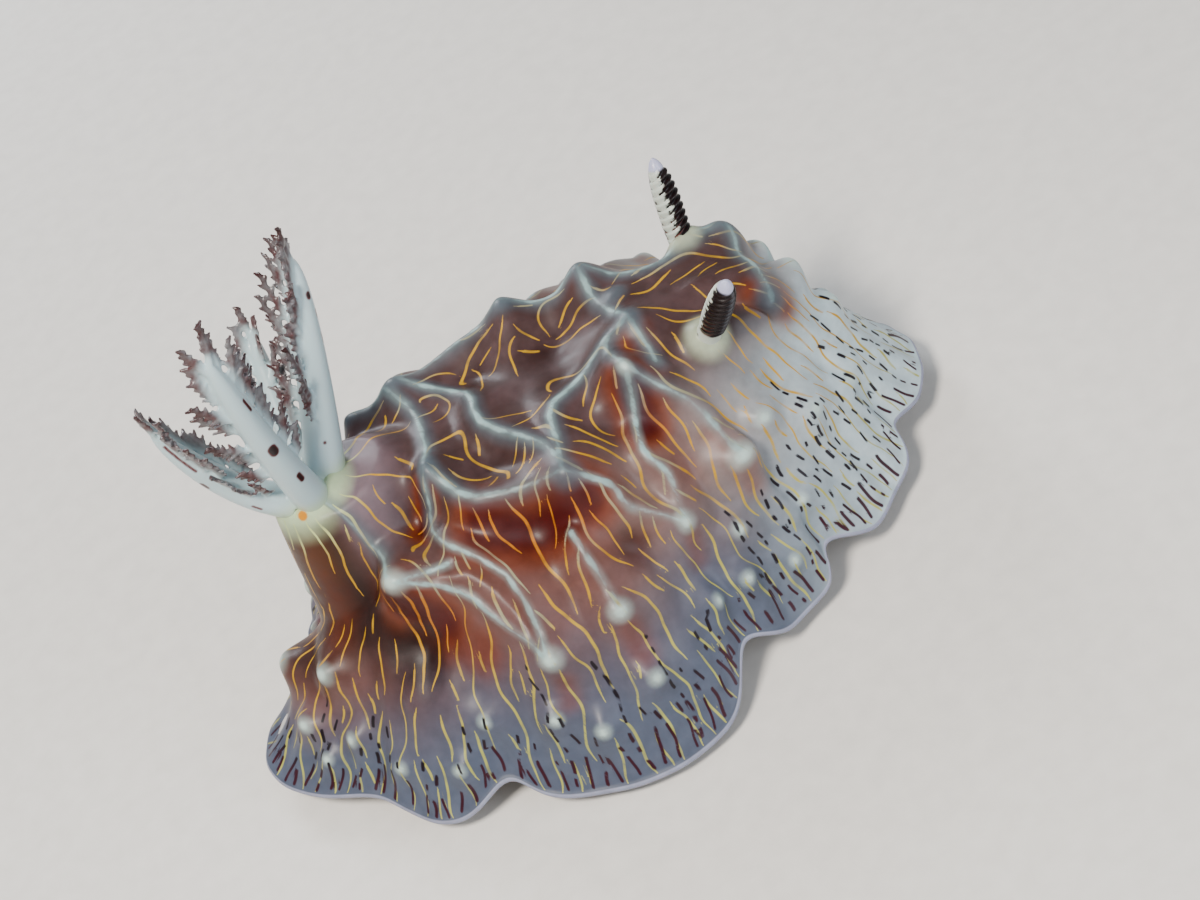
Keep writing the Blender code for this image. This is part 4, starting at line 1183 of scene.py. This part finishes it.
def skin_material():
    """Wet jelly over coloured tissue, with small bright reflections and some painted shade and light."""
    material, tree, shader, place = new_material("wet_mantle_skin")
    sources, levels = skin_sources(tree, place)
    masks = masks_of(tree, sources, SKIN_MASKS)
    # Warm patches: orange round a deep red core that is partly painted shade.
    embers = layered(tree, masks, EMBER_ORANGE, ((EMBER_RED_AND_SHADE, "ember_core"),))
    line = layered(tree, masks, LINE_YELLOW, LINE_LAYERS)
    dash = layered(tree, masks, DASH_BLACK, ((DASH_MAROON, "near_rim"),))
    flesh = layered(
        tree,
        masks,
        MAUVE_BACK,
        (
            (ROSE_FLANK, "flank"),
            (FLANK_GREY, "flank", "ahead"),
            # Painted shade, over a real red-brown, darkens the hollows between the ridges.
            (VALLEY_RED_AND_SHADE, "valley"),
            (CLOUD_ROSE, "cloud"),
            # Painted shade on the rear slope, above the edge.
            (REAR_SLOPE_SHADE, "behind", "above_edge"),
            (LILAC_EDGE, "edge"),
            # The pale front flank: partly real colour, partly painted light.
            (PALE_AND_LIT_FRONT, "front", "flank"),
            (APRON_MAUVE, "apron", "before"),
            (NECK_OCHRE, "neck", "behind"),
            (embers, "ember", "patchy"),
            # Painted shade: near black in the deepest hollows.
            (HOLLOW_SHADE_BLACK, "notch"),
            (COLLAR_GREEN, "collar"),
            (RIDGE_SHADE, "crest_shade", "upper"),
            (RIDGE_PALE, "crest_glow", "faint"),
            (TIP_PALE, "tip_glow"),
            (line, "line", "line_width", "drawn"),
            (RIDGE_PALE, "crest", "broken"),
            (RIDGE_SHADE, "crown"),
            (TIP_PALE, "tip"),
            (PATCH_ORANGE, "patch"),
            (SHEATH_CREAM, "sheath"),
            (EDGE_PALE, "rim"),
            (dash, "dash", "dash_width"),
            (UNDER_CREAM, "under"),
        ),
    )
    shaded = add(tree, "ShaderNodeHueSaturation", {"Color": flesh, "Value": levels["tint"]})
    wrinkles = {"Strength": WRINKLE_STRENGTH, "Distance": WRINKLE_DEPTH * MM, "Height": sources["wrinkle"]}
    fine_relief = add(tree, "ShaderNodeBump", wrinkles)
    tree.links.new(shaded.outputs[0], shader.inputs["Base Color"])
    tree.links.new(levels["gloss"], shader.inputs["Roughness"])
    tree.links.new(fine_relief.outputs[0], shader.inputs["Normal"])
    shader.inputs["Specular IOR Level"].default_value = 0.3
    wet(shader, 0.22, 0.6)
    return material


finished(
    "mantle_skin", skin_mesh(), skin_material(), "mantle",
    "mantle_front", "mantle_middle", "mantle_rear", "foot", "head",
)

# %% [markdown]
# ## Stems
#
# Rhinophores, gill plumes and oral tentacles are all stems: a path, and a radius along it. A flat grid
# is wrapped round the path and drawn shut at both ends, which gives even quads and lets a ripple of the
# radius make leaflets. The same function adds to a mesh that is already there, so a plume's hundreds of
# filaments cost one mesh.

# %% Stems
NEARLY_ALONG = 0.2
BLUNT_END = 0.02
STEM_ROUND = 7


def square_to(direction):
    """Two directions square to the given one."""
    forward = np.array(direction, float)
    forward = forward / np.linalg.norm(forward)
    side = np.cross(forward, (0.0, 1.0, 0.0))
    if np.linalg.norm(side) < NEARLY_ALONG:
        side = np.cross(forward, (1.0, 0.0, 0.0))
    side = side / np.linalg.norm(side)
    return side, np.cross(forward, side)


def add_stem(mesh, path, radii, columns, rows, ripple=None, share_layer=None, merged=True):
    """Adds a closed round stem along a path to the mesh. Angle 0 is the side to the tail."""
    made = bmesh.ops.create_grid(mesh, x_segments=columns, y_segments=rows + 2, size=0.5)["verts"]
    rings = []
    for row in range(rows + 3):
        share = min(max((row - 1) / rows, 0), 1)
        ahead = path(min(share + SMALL_STEP, 1)) - path(max(share - SMALL_STEP, 0))
        rings.append((share, path(share), *square_to(ahead), row in (0, rows + 2)))
    for vert in made:
        around = (vert.co.x + 0.5) * 2 * math.pi
        share, centre, one, two, closed = rings[round((vert.co.y + 0.5) * (rows + 2))]
        size = 0.0 if closed else radii(share)
        if ripple is not None and not closed:
            size = size + ripple(around, share)
        vert.co = Vector(centre + (one * math.cos(around) + two * math.sin(around)) * size) * MM
        if share_layer is not None:
            vert[share_layer] = share
    if merged:
        bmesh.ops.remove_doubles(mesh, verts=made, dist=MERGE_DISTANCE)


def bend_through(root, middle, end):
    """A smooth path that starts at the root, passes the middle half way and ends at the tip."""
    a, b, c = (np.array(point, float) for point in (root, middle, end))

    def path(s):
        return a * (1 - s) * (1 - 2 * s) + b * 4 * s * (1 - s) + c * s * (2 * s - 1)

    return path


def blunt(share, power):
    """The share of its full radius that a stem keeps near its rounded tip."""
    return math.sqrt(max(1 - share**power, BLUNT_END))


# %% [markdown]
# ## Rhinophores
#
# With these two clubs the slug smells its way. A pale stalk comes out of the sheath, and a club of
# thin leaflets leans forward on it, near black, with a pale rear face. The pale lilac knob at its tip is
# a painted highlight. The leaflets are a ripple of the radius: a slow rise and a quick drop, so each
# overhangs the next.

# %% Rhinophores
STALK_RADIUS = 0.95
CLUB_RADIUS = 1.05
LEAVES = 11
LEAF_START = 0.27
LEAF_END = 0.93
LEAF_DEPTH = 0.34
LEAF_SLANT = 0.6
LEAF_RISE = 0.75
CLUB_START = 0.25
CLUB_RAMP = 0.2
TAPER_START = 0.6
FOOT_FLARE = 0.35
FOOT_FLARE_SHARE = 0.16
CLUB_GRID = (72, 230)
STRIPE_TURN = 0.7
SPOT_SHARE = 0.17
SPOT_HALF_LENGTH = 0.55
SPOT_HALF_WIDTH = 0.22

# Leaflets are full in front and gone behind: how full they are at the sides, and the change from there.
LEAF_AROUND = (0.7, 0.6)

LEAF_BLACK = "#120809"
GAP_RED = "#6b3630"
STALK_PALE = "#b4bcb2"
# A painted highlight: the pale lilac knob at the club's tip.
KNOB_HIGHLIGHT = "#a9abc6"
CLUB_VALUES = ("share", "rear", "leaf", "spot")
CLUB_LEVELS = {
    "smudge": ("smudge", 0.3, 0.7, -0.2, 0.2),
    "comb": ("leaf", 0.0, 1.0, 0.0, 0.3),
}
CLUB_MASKS = {
    "club": ("share", 0.285, 0.31),
    "below_knob": ("share", 0.93, 0.915),
    "knob": ("share", 0.9, 0.93),
    "low": ("share", 0.6, 0.34),
    # Painted highlight at the tip of the club.
    "gap": ("leaf", 0.3, 0.05),
    "front": ("rear_face", 1.0, 0.85),
    "spot": ("spot", 0.05, -0.05),
}


def leaf_phase(around, share):
    """How many leaflets up from the lowest one this point is, and how far along their stretch."""
    along = (share - LEAF_START) / (LEAF_END - LEAF_START)
    return along * LEAVES + LEAF_SLANT * math.cos(around), along


def leaf_ripple(around, share):
    """How far a leaflet stands out here: a slow rise and a quick drop, fading at both ends and behind."""
    phase, along = leaf_phase(around, share)
    cycle = phase % 1.0
    saw = cycle / LEAF_RISE if cycle < LEAF_RISE else (1 - cycle) / (1 - LEAF_RISE)
    ends = min(max(min(along, 1 - along) * LEAVES, 0), 1)
    front = min(max(LEAF_AROUND[0] - LEAF_AROUND[1] * math.cos(around), 0), 1)
    return LEAF_DEPTH * (ease(saw) - 0.5) * ends * front


def club_radius(share):
    """The radius from the flared foot over the stalk and the club to the rounded knob."""
    swell = min(max((share - CLUB_START) / CLUB_RAMP, 0), 1)
    taper = blunt(max((share - TAPER_START) / (1 - TAPER_START), 0), 2)
    foot = FOOT_FLARE * math.exp(-((share / FOOT_FLARE_SHARE) ** 2))
    return (STALK_RADIUS + (CLUB_RADIUS - STALK_RADIUS) * swell) * taper + foot


def rhinophore_material():
    """Near-black leaflets with reddish gaps, on a wet, pale and slightly translucent stalk."""
    material, tree, shader, place = new_material("wet_rhinophore_flesh")
    sources = sources_of(tree, place, CLUB_VALUES, {"smudge": (0.6, 4.0)})
    rear = sources["rear"]
    for drift in masks_of(tree, sources, CLUB_LEVELS, "LINEAR").values():
        rear = add(tree, "ShaderNodeMath", {0: rear, 1: drift}, operation="ADD").outputs[0]
    sources["rear_face"] = rear
    masks = masks_of(tree, sources, CLUB_MASKS)
    leaves = layered(tree, masks, LEAF_BLACK, ((GAP_RED, "gap", "low"),))
    # The knob at the tip is a painted highlight.
    layers = ((leaves, "club", "below_knob", "front"), (KNOB_HIGHLIGHT, "knob"), (LEAF_BLACK, "spot"))
    colour = layered(tree, masks, STALK_PALE, layers)
    tree.links.new(colour, shader.inputs["Base Color"])
    shader.inputs["Roughness"].default_value = 0.28
    wet(shader, 0.15, 0.4)
    return material


def make_rhinophore(name, root, end, material):
    """One rhinophore, with its leaflets, its pale rear face and its spot on the points as values."""
    root = np.array(root)
    axis = np.array(end) - root
    length = np.linalg.norm(axis)
    mesh = bmesh.new()
    values = {key: mesh.verts.layers.float.new(key) for key in CLUB_VALUES}

    def path(s):
        return root + axis * s

    add_stem(mesh, path, club_radius, *CLUB_GRID, leaf_ripple, values["share"])
    forward = axis / length
    rearward, across = square_to(forward)
    for vert in mesh.verts:
        share = vert[values["share"]]
        away = np.array(vert.co) / MM - path(share)
        around = math.atan2(away @ across, away @ rearward)
        phase, _ = leaf_phase(around, share)
        vert[values["rear"]] = math.cos(around - math.copysign(STRIPE_TURN, root[1]))
        vert[values["leaf"]] = phase % 1.0
        up = (share - SPOT_SHARE) * length / SPOT_HALF_LENGTH
        side = around * STALK_RADIUS / SPOT_HALF_WIDTH
        vert[values["spot"]] = (math.hypot(up, side) - 1) * SPOT_HALF_WIDTH
    return finished(name + "_club", mesh, material, "rhinophore", name)


rhinophore_flesh = rhinophore_material()
for node_name, (foot_point, tip_point) in RHINOPHORES.items():
    make_rhinophore(node_name, foot_point, tip_point, rhinophore_flesh)

# %% [markdown]
# ## Gills
#
# Four plumes stand on a short trunk. Each is a thick, clear white stem that is smooth on one side and
# carries two rows of pinnae on the other, and every pinna is a small feather of pinnules. They are laid
# as stems on stems in one mesh. A voxel remesh then melts them into a single surface, because soft
# tissue has no creases where a branch leaves its stem.

# %% Gill stems, pinnae and pinnules
PLUMES = {
    "gill_plume_front": ((-15.4, 0.8, 23.6), (-11.5, 3.8, 31.8), (-8.3, 6.2, 39.8), 1.7),
    "gill_plume_right": ((-17.0, -1.2, 24.0), (-17.3, -3.3, 34.2), (-17.0, -4.0, 43.2), 1.5),
    "gill_plume_rear": ((-18.6, -0.4, 24.2), (-22.1, 0.2, 28.9), (-24.4, 0.7, 36.6), 1.5),
    "gill_plume_left": ((-16.8, 1.8, 23.6), (-15.8, 6.2, 28.6), (-14.6, 9.4, 33.2), 1.2),
}

# The side that each plume's pinnae open to, the angle from it to either row, their number, and length.
PINNAE = {
    "gill_plume_front": ((-1.0, -0.2, 0.0), 50, 18, 4.6),
    "gill_plume_right": ((-0.3, 1.0, 0.0), 78, 17, 4.4),
    "gill_plume_rear": ((0.6, 0.1, 0.8), 62, 15, 4.0),
    "gill_plume_left": ((-0.4, -0.6, 0.4), 60, 11, 3.2),
}
PLUME_TAPER = 0.45
SHORT_WAY = 0.01
STEM_GRID = (28, 60)

# Pinnae: where they stand on a stem, how they lean and vary, and how deep their roots are sunk.
PINNA_SPAN = (0.22, 0.985)
PINNA_LEAN = (28, 74)
PINNA_LEAN_JITTER = 7
PINNA_TURN_SPREAD = (0.75, 1.2)
PINNA_LENGTH_SPREAD = (0.8, 1.08)
PINNA_LENGTH_AT_ENDS = 0.66
PINNA_LENGTH_SWELL = 0.34
PINNA_START = 0.6
PINNA_SHORTER = 0.25
PINNA_CURL = 0.22
PINNA_RADIUS = (0.32, 0.19)
PINNA_GRID = (8, 8)

# Pinnules: the same on a pinna, how much of their direction is along it and to its side, and their
# length at its root and what that loses to its tip. They are shorter on a pinna that isn't a long one.
PINNULES = 9
PINNULE_START = 0.22
PINNULE_STRETCH = 0.72
PINNULE_WAY = 0.02
PINNULE_TWIST = 0.3
PINNULE_ALONG = 0.75
PINNULE_ASIDE = 0.8
PINNULE_LENGTHS = (1.15, 0.55)
PINNULE_SPREAD = (0.75, 1.15)
PINNULE_CURL = 0.2
PINNULE_RADIUS = (0.2, 0.14)
PINNULE_GRID = (6, 3)
LONG_PINNA = 3.5

VOXEL = 0.12
SMOOTHING_ROUNDS = 3
SMOOTHING = 0.35


def between_ends(ends):
    """A radius that runs evenly from its value at the root to its value at the tip."""
    return lambda share: ends[0] + (ends[1] - ends[0]) * share


def add_pinnules(mesh, pinna, stem_ahead, reach, draw):
    """Small leaflets on both sides of a pinna, in the plane of the plume."""
    for index in range(PINNULES):
        share = PINNULE_START + PINNULE_STRETCH * index / (PINNULES - 1)
        ahead = pinna(min(share + PINNULE_WAY, 1)) - pinna(share - PINNULE_WAY)
        ahead = ahead / np.linalg.norm(ahead)
        lateral = stem_ahead - ahead * (stem_ahead @ ahead)
        lateral = lateral / np.linalg.norm(lateral) * (1 if index % 2 else -1)
        lateral = lateral + np.cross(ahead, lateral) * draw.uniform(-PINNULE_TWIST, PINNULE_TWIST)
        direction = ahead * PINNULE_ALONG + lateral * PINNULE_ASIDE
        direction = direction / np.linalg.norm(direction)
        size = PINNULE_LENGTHS[0] - PINNULE_LENGTHS[1] * share
        size = size * draw.uniform(*PINNULE_SPREAD) * min(reach / LONG_PINNA, 1)
        start = pinna(share)
        end = start + direction * size + ahead * size * PINNULE_CURL
        line = bend_through(start, start + direction * size * 0.5, end)
        add_stem(mesh, line, between_ends(PINNULE_RADIUS), *PINNULE_GRID, merged=False)


def plume_stem(name):
    """The centre line of a plume's stem, and its radius along it."""
    root, middle, end, radius = PLUMES[name]

    def stem_radius(share):
        return radius * (1 - PLUME_TAPER * share) * blunt(share, STEM_ROUND)

    return bend_through(root, middle, end), stem_radius


def add_plume(mesh, name, draw):
    """One plume: its stem, then pinnae that lean more and more to the tip."""
    side, spread, count, length = PINNAE[name]
    side = np.array(side)
    stem, stem_radius = plume_stem(name)
    add_stem(mesh, stem, stem_radius, *STEM_GRID, merged=False)
    for index in range(count):
        share = np.interp(index, (0, count - 1), PINNA_SPAN)
        ahead = stem(share + SHORT_WAY) - stem(share - SHORT_WAY)
        ahead = ahead / np.linalg.norm(ahead)
        facing = side - ahead * (side @ ahead)
        facing = facing / np.linalg.norm(facing)
        row = 1 if index % 2 else -1
        turned = math.radians(spread) * row * draw.uniform(*PINNA_TURN_SPREAD)
        outward = facing * math.cos(turned) + np.cross(ahead, facing) * math.sin(turned)
        lean = np.interp(share, (0, 1), PINNA_LEAN)
        lean = math.radians(lean + draw.uniform(-PINNA_LEAN_JITTER, PINNA_LEAN_JITTER))
        direction = outward * math.cos(lean) + ahead * math.sin(lean)
        reach = length * (PINNA_LENGTH_AT_ENDS + PINNA_LENGTH_SWELL * math.sin(math.pi * share))
        reach = reach * draw.uniform(*PINNA_LENGTH_SPREAD)
        start = stem(share) + outward * PINNA_START * stem_radius(share)
        reach -= PINNA_SHORTER * stem_radius(share)
        tip = start + direction * reach + ahead * reach * PINNA_CURL
        pinna = bend_through(start, start + direction * reach * 0.5, tip)
        add_stem(mesh, pinna, between_ends(PINNA_RADIUS), *PINNA_GRID, merged=False)
        add_pinnules(mesh, pinna, ahead, reach, draw)


def melted(mesh, voxel):
    """The mesh remade as one closed surface of small, even faces, and smoothed a little."""
    data = bpy.data.meshes.new("melting")
    mesh.to_mesh(data)
    mesh.free()
    obj = bpy.data.objects.new("melting", data)
    bpy.context.scene.collection.objects.link(obj)
    remesh = obj.modifiers.new("melt", "REMESH")
    remesh.mode = "VOXEL"
    remesh.voxel_size = voxel * MM
    bpy.context.view_layer.update()
    graph = bpy.context.evaluated_depsgraph_get()
    result = bmesh.new()
    result.from_object(obj, graph)
    bpy.data.objects.remove(obj)
    every_axis = {"use_axis_x": True, "use_axis_y": True, "use_axis_z": True}
    for _ in range(SMOOTHING_ROUNDS):
        bmesh.ops.smooth_vert(result, verts=result.verts, factor=SMOOTHING, **every_axis)
    return result


# %% [markdown]
# ### Finish of the gills
#
# The stems are like milky glass. Colour gathers towards the ends: pinnae are a brownish maroon that is
# darkest at their tips, and a few dark red spots with black middles lie on the smooth sides of the stems.
# Each point keeps how far it is outside the nearest stem, and the colour follows from that.

# %% Gill finish
# Spots and short streaks: plume, first and last share of its length, angle round it, radius.
SPOTS = (
    ("gill_plume_front", 0.82, 0.83, 130, 0.26),
    ("gill_plume_front", 0.72, 0.74, 165, 0.26),
    ("gill_plume_front", 0.60, 0.63, 165, 0.24),
    ("gill_plume_front", 0.17, 0.17, 85, 0.14),
    ("gill_plume_front", 0.55, 0.55, 300, 0.26),
    ("gill_plume_right", 0.43, 0.45, 110, 0.44),
    ("gill_plume_right", 0.21, 0.24, 120, 0.26),
    ("gill_plume_right", 0.68, 0.74, 150, 0.18),
    ("gill_plume_right", 0.45, 0.46, 300, 0.30),
    ("gill_plume_rear", 0.60, 0.63, 45, 0.24),
    ("gill_plume_rear", 0.24, 0.30, 70, 0.12),
    ("gill_plume_rear", 0.72, 0.92, 92, 0.12),
    ("gill_plume_rear", 0.45, 0.46, 200, 0.28),
    ("gill_plume_left", 0.35, 0.36, 180, 0.26),
    ("gill_plume_left", 0.60, 0.61, 20, 0.24),
)
STOPS_PER_PLUME = 150
TRUNK_LENGTH = 3.4
TRUNK_ROUND = (0.9, 6)
TRUNK_GRID = (40, 8)
TRUNK_STOPS = np.linspace(0, 3, 8)
STEM_STOPS = np.linspace(0, 1, 60)
ROOT_LEVEL = 2.0
STEM_MILKY = "#a6bbc0"
PINNA_BROWN = "#4b3032"
PINNA_MAROON = "#2e1214"
SPOT_RED = "#4e0c14"
SPOT_BLACK = "#14040a"
GILL_MASKS = {
    "pinna": ("outside", 0.1, 1.0),
    "far": ("outside", 0.9, 2.6),
    "spot": ("spot", 0.1, -0.08),
    "spot_core": ("spot", -0.04, -0.18),
    "root": ("root", 2.4, 0.0),
    "patchy": ("cloud", 0.35, 0.65, 0.72, 1.0),
}


def to_spots(points):
    """How far each point is outside the nearest spot or streak of the stems."""
    nearest = np.full(len(points), AWAY)
    for name, first, last, angle, size in SPOTS:
        stem, stem_radius = plume_stem(name)
        turned = math.radians(angle)
        for share in np.linspace(first, last, 2 + round((last - first) * STOPS_PER_PLUME)):
            one, two = square_to(stem(share + SHORT_WAY) - stem(share - SHORT_WAY))
            outward = one * math.cos(turned) + two * math.sin(turned)
            centre = stem(share) + outward * stem_radius(share)
            nearest = np.minimum(nearest, np.linalg.norm(points - centre, axis=-1) - size)
    return nearest


def gill_material():
    """Wet, milky gill tissue, darker and browner to the ends of its branches."""
    material, tree, shader, place = new_material("wet_gill_tissue")
    sources = sources_of(tree, place, ("outside", "spot", "root"), {"cloud": (1.3, 3.0)})
    masks = masks_of(tree, sources, GILL_MASKS)
    spot = layered(tree, masks, SPOT_RED, ((SPOT_BLACK, "spot_core"),))
    colour = layered(
        tree,
        masks,
        STEM_MILKY,
        (
            (COLLAR_GREEN, "root"),
            (PINNA_BROWN, "pinna", "patchy"),
            (PINNA_MAROON, "far", "patchy"),
            (spot, "spot"),
        ),
    )
    tree.links.new(colour, shader.inputs["Base Color"])
    shader.inputs["Roughness"].default_value = 0.3
    wet(shader, 0.2, 0.35)
    shader.inputs["Coat Weight"].default_value = 0.3
    return material


def outside_stems(points):
    """How far each point is outside the nearest stem or the trunk."""
    steps = [(TRUNK_BASE + TRUNK_LEAN * height, TRUNK_RADIUS) for height in TRUNK_STOPS]
    for name in PLUMES:
        stem, stem_radius = plume_stem(name)
        steps.extend((stem(share), stem_radius(share)) for share in STEM_STOPS)
    return np.min([np.linalg.norm(points - at, axis=-1) - wide for at, wide in steps], axis=0)


def make_gills():
    """The trunk and the four plumes, melted into one surface, with the values that its finish needs."""
    draw = random.Random(SEED + 2)
    mesh = bmesh.new()

    def trunk(share):
        return TRUNK_BASE + TRUNK_LEAN * TRUNK_LENGTH * share

    def trunk_radius(share):
        return TRUNK_RADIUS * blunt(share * TRUNK_ROUND[0], TRUNK_ROUND[1])

    add_stem(mesh, trunk, trunk_radius, *TRUNK_GRID, merged=False)
    for name in PLUMES:
        add_plume(mesh, name, draw)
    melt = melted(mesh, VOXEL)
    points = np.array([vert.co for vert in melt.verts]) / MM
    values = {
        "outside": outside_stems(points),
        "spot": to_spots(points),
        "root": points[:, 2] - TRUNK_BASE[2] - ROOT_LEVEL,
    }
    for key, value in values.items():
        layer = melt.verts.layers.float.new(key)
        for vert, number in zip(melt.verts, value):
            vert[layer] = number
    return finished("gill_plumes", melt, gill_material(), "gill", "gill_trunk", *PLUMES)


make_gills()

# %% [markdown]
# ## Oral tentacles
#
# Two short feelers flank the mouth under the front of the mantle. They only show from low in front, so
# they are plain tapered stems, in the same wet flesh as the underside.

# %% Oral tentacles
TENTACLE_ROOT = (21.0, 2.7, 2.9)
TENTACLE_MIDDLE = (23.4, 4.2, 2.9)
TENTACLE_TIP = (25.1, 4.8, 2.4)
TENTACLE_RADIUS = 0.6
TENTACLE_TAPER = 0.35
TENTACLE_ROUND = 6
TENTACLE_GRID = (24, 24)
FRECKLE_MAUVE = "#a0929a"


def tentacle_material():
    """Pale, wet and faintly freckled flesh."""
    material, tree, shader, place = new_material("wet_pale_flesh")
    sources = sources_of(tree, place, (), {"freckle": (0.4, 3.0)})
    masks = masks_of(tree, sources, {"freckle": ("freckle", 0.5, 0.7, 0.0, 0.6)})
    colour = layered(tree, masks, UNDER_CREAM, ((FRECKLE_MAUVE, "freckle"),))
    tree.links.new(colour, shader.inputs["Base Color"])
    shader.inputs["Roughness"].default_value = 0.34
    wet(shader, 0.3, 0.6)
    return material


def tentacle_radius(share):
    return TENTACLE_RADIUS * (1 - TENTACLE_TAPER * share) * blunt(share, TENTACLE_ROUND)


pale_flesh = tentacle_material()
for node_name, hand in (("oral_tentacle_right", -1), ("oral_tentacle_left", 1)):
    stops = [(x, y * hand, z) for x, y, z in (TENTACLE_ROOT, TENTACLE_MIDDLE, TENTACLE_TIP)]
    feeler = bmesh.new()
    add_stem(feeler, bend_through(*stops), tentacle_radius, *TENTACLE_GRID)
    finished(node_name + "_feeler", feeler, pale_flesh, "head", node_name)

# %% [markdown]
# ## Floor, light and camera
#
# The model rests on a plain pale floor. One large soft lamp hangs over the animal's tail side as a
# museum light would, a weaker one fills from the front, and a small one from behind lifts the edge. The
# camera looks down on the right flank from about 44 degrees, rolled so that the animal climbs to the
# right as it does on its slope.

# %% Floor, light and camera
FLOOR_SIZE = 1.6
BOARD_GREY = "#cfcdc8"
BOARD_PALE = "#d6d4cf"
ROOM_COLOUR = "#e9eef2"
ROOM_STRENGTH = 0.4

# Lamps: name, place in mm, size in mm, watts, colour.
LIGHTS = (
    ("key", (-90, -120, 260), 80, 1.5, "#fff6ec"),
    ("fill", (190, -200, 130), 220, 0.55, "#eef4ff"),
    ("edge", (-60, 240, 160), 120, 0.6, "#f4f8ff"),
)
CAMERA_TARGET = Vector((4.5, 1.51, 9.56))
CAMERA_DISTANCE = 215.0
CAMERA_ELEVATION = 44.0
CAMERA_ROLL = 31.0
CAMERA_FOCAL = 76.5
CAMERA_NEAR = 0.005


def make_floor():
    """A sheet of pale matt board, faintly speckled, which belongs to the room and not to the model."""
    mesh = bmesh.new()
    bmesh.ops.create_grid(mesh, x_segments=1, y_segments=1, size=FLOOR_SIZE / 2)
    data = bpy.data.meshes.new("floor")
    mesh.to_mesh(data)
    mesh.free()
    material, tree, shader, place = new_material("pale_matt_board")
    sources = sources_of(tree, place, (), {"speck": (2, 3.0)})
    masks = masks_of(tree, sources, {"speck": ("speck", 0.3, 0.7)}, "LINEAR")
    colour = layered(tree, masks, BOARD_GREY, ((BOARD_PALE, "speck"),))
    tree.links.new(colour, shader.inputs["Base Color"])
    shader.inputs["Roughness"].default_value = 0.8
    data.materials.append(material)
    obj = bpy.data.objects.new("floor", data)
    bpy.context.scene.collection.objects.link(obj)


def make_light(name, place, size, watts, colour):
    """One round, soft lamp that points at the middle of the view."""
    data = bpy.data.lights.new(name, "AREA")
    data.shape = "DISK"
    data.size = size * MM
    data.energy = watts
    data.color = linear(colour)[:3]
    obj = bpy.data.objects.new(name, data)
    obj.location = Vector(place) * MM
    obj.rotation_euler = (CAMERA_TARGET - Vector(place)).to_track_quat("-Z", "Y").to_euler()
    bpy.context.scene.collection.objects.link(obj)


def make_camera():
    """The photo's view, as worked out from the outline."""
    data = bpy.data.cameras.new("camera")
    data.lens = CAMERA_FOCAL
    data.clip_start = CAMERA_NEAR
    obj = bpy.data.objects.new("camera", data)
    rise = math.radians(CAMERA_ELEVATION)
    roll = math.radians(CAMERA_ROLL)
    backward = Vector((0, -math.cos(rise), math.sin(rise)))
    level = Vector((1, 0, 0))
    upright = backward.cross(level)
    right = level * math.cos(roll) - upright * math.sin(roll)
    up = level * math.sin(roll) + upright * math.cos(roll)
    matrix = Matrix((right, up, backward)).transposed().to_4x4()
    matrix.translation = (CAMERA_TARGET + backward * CAMERA_DISTANCE) * MM
    obj.matrix_world = matrix
    bpy.context.scene.collection.objects.link(obj)
    bpy.context.scene.camera = obj


make_floor()
for lamp in LIGHTS:
    make_light(*lamp)
make_camera()
world = bpy.data.worlds.new("soft_room")
world.use_nodes = True
background = world.node_tree.nodes["Background"]
background.inputs["Color"].default_value = linear(ROOM_COLOUR)
background.inputs["Strength"].default_value = ROOM_STRENGTH
bpy.context.scene.world = world
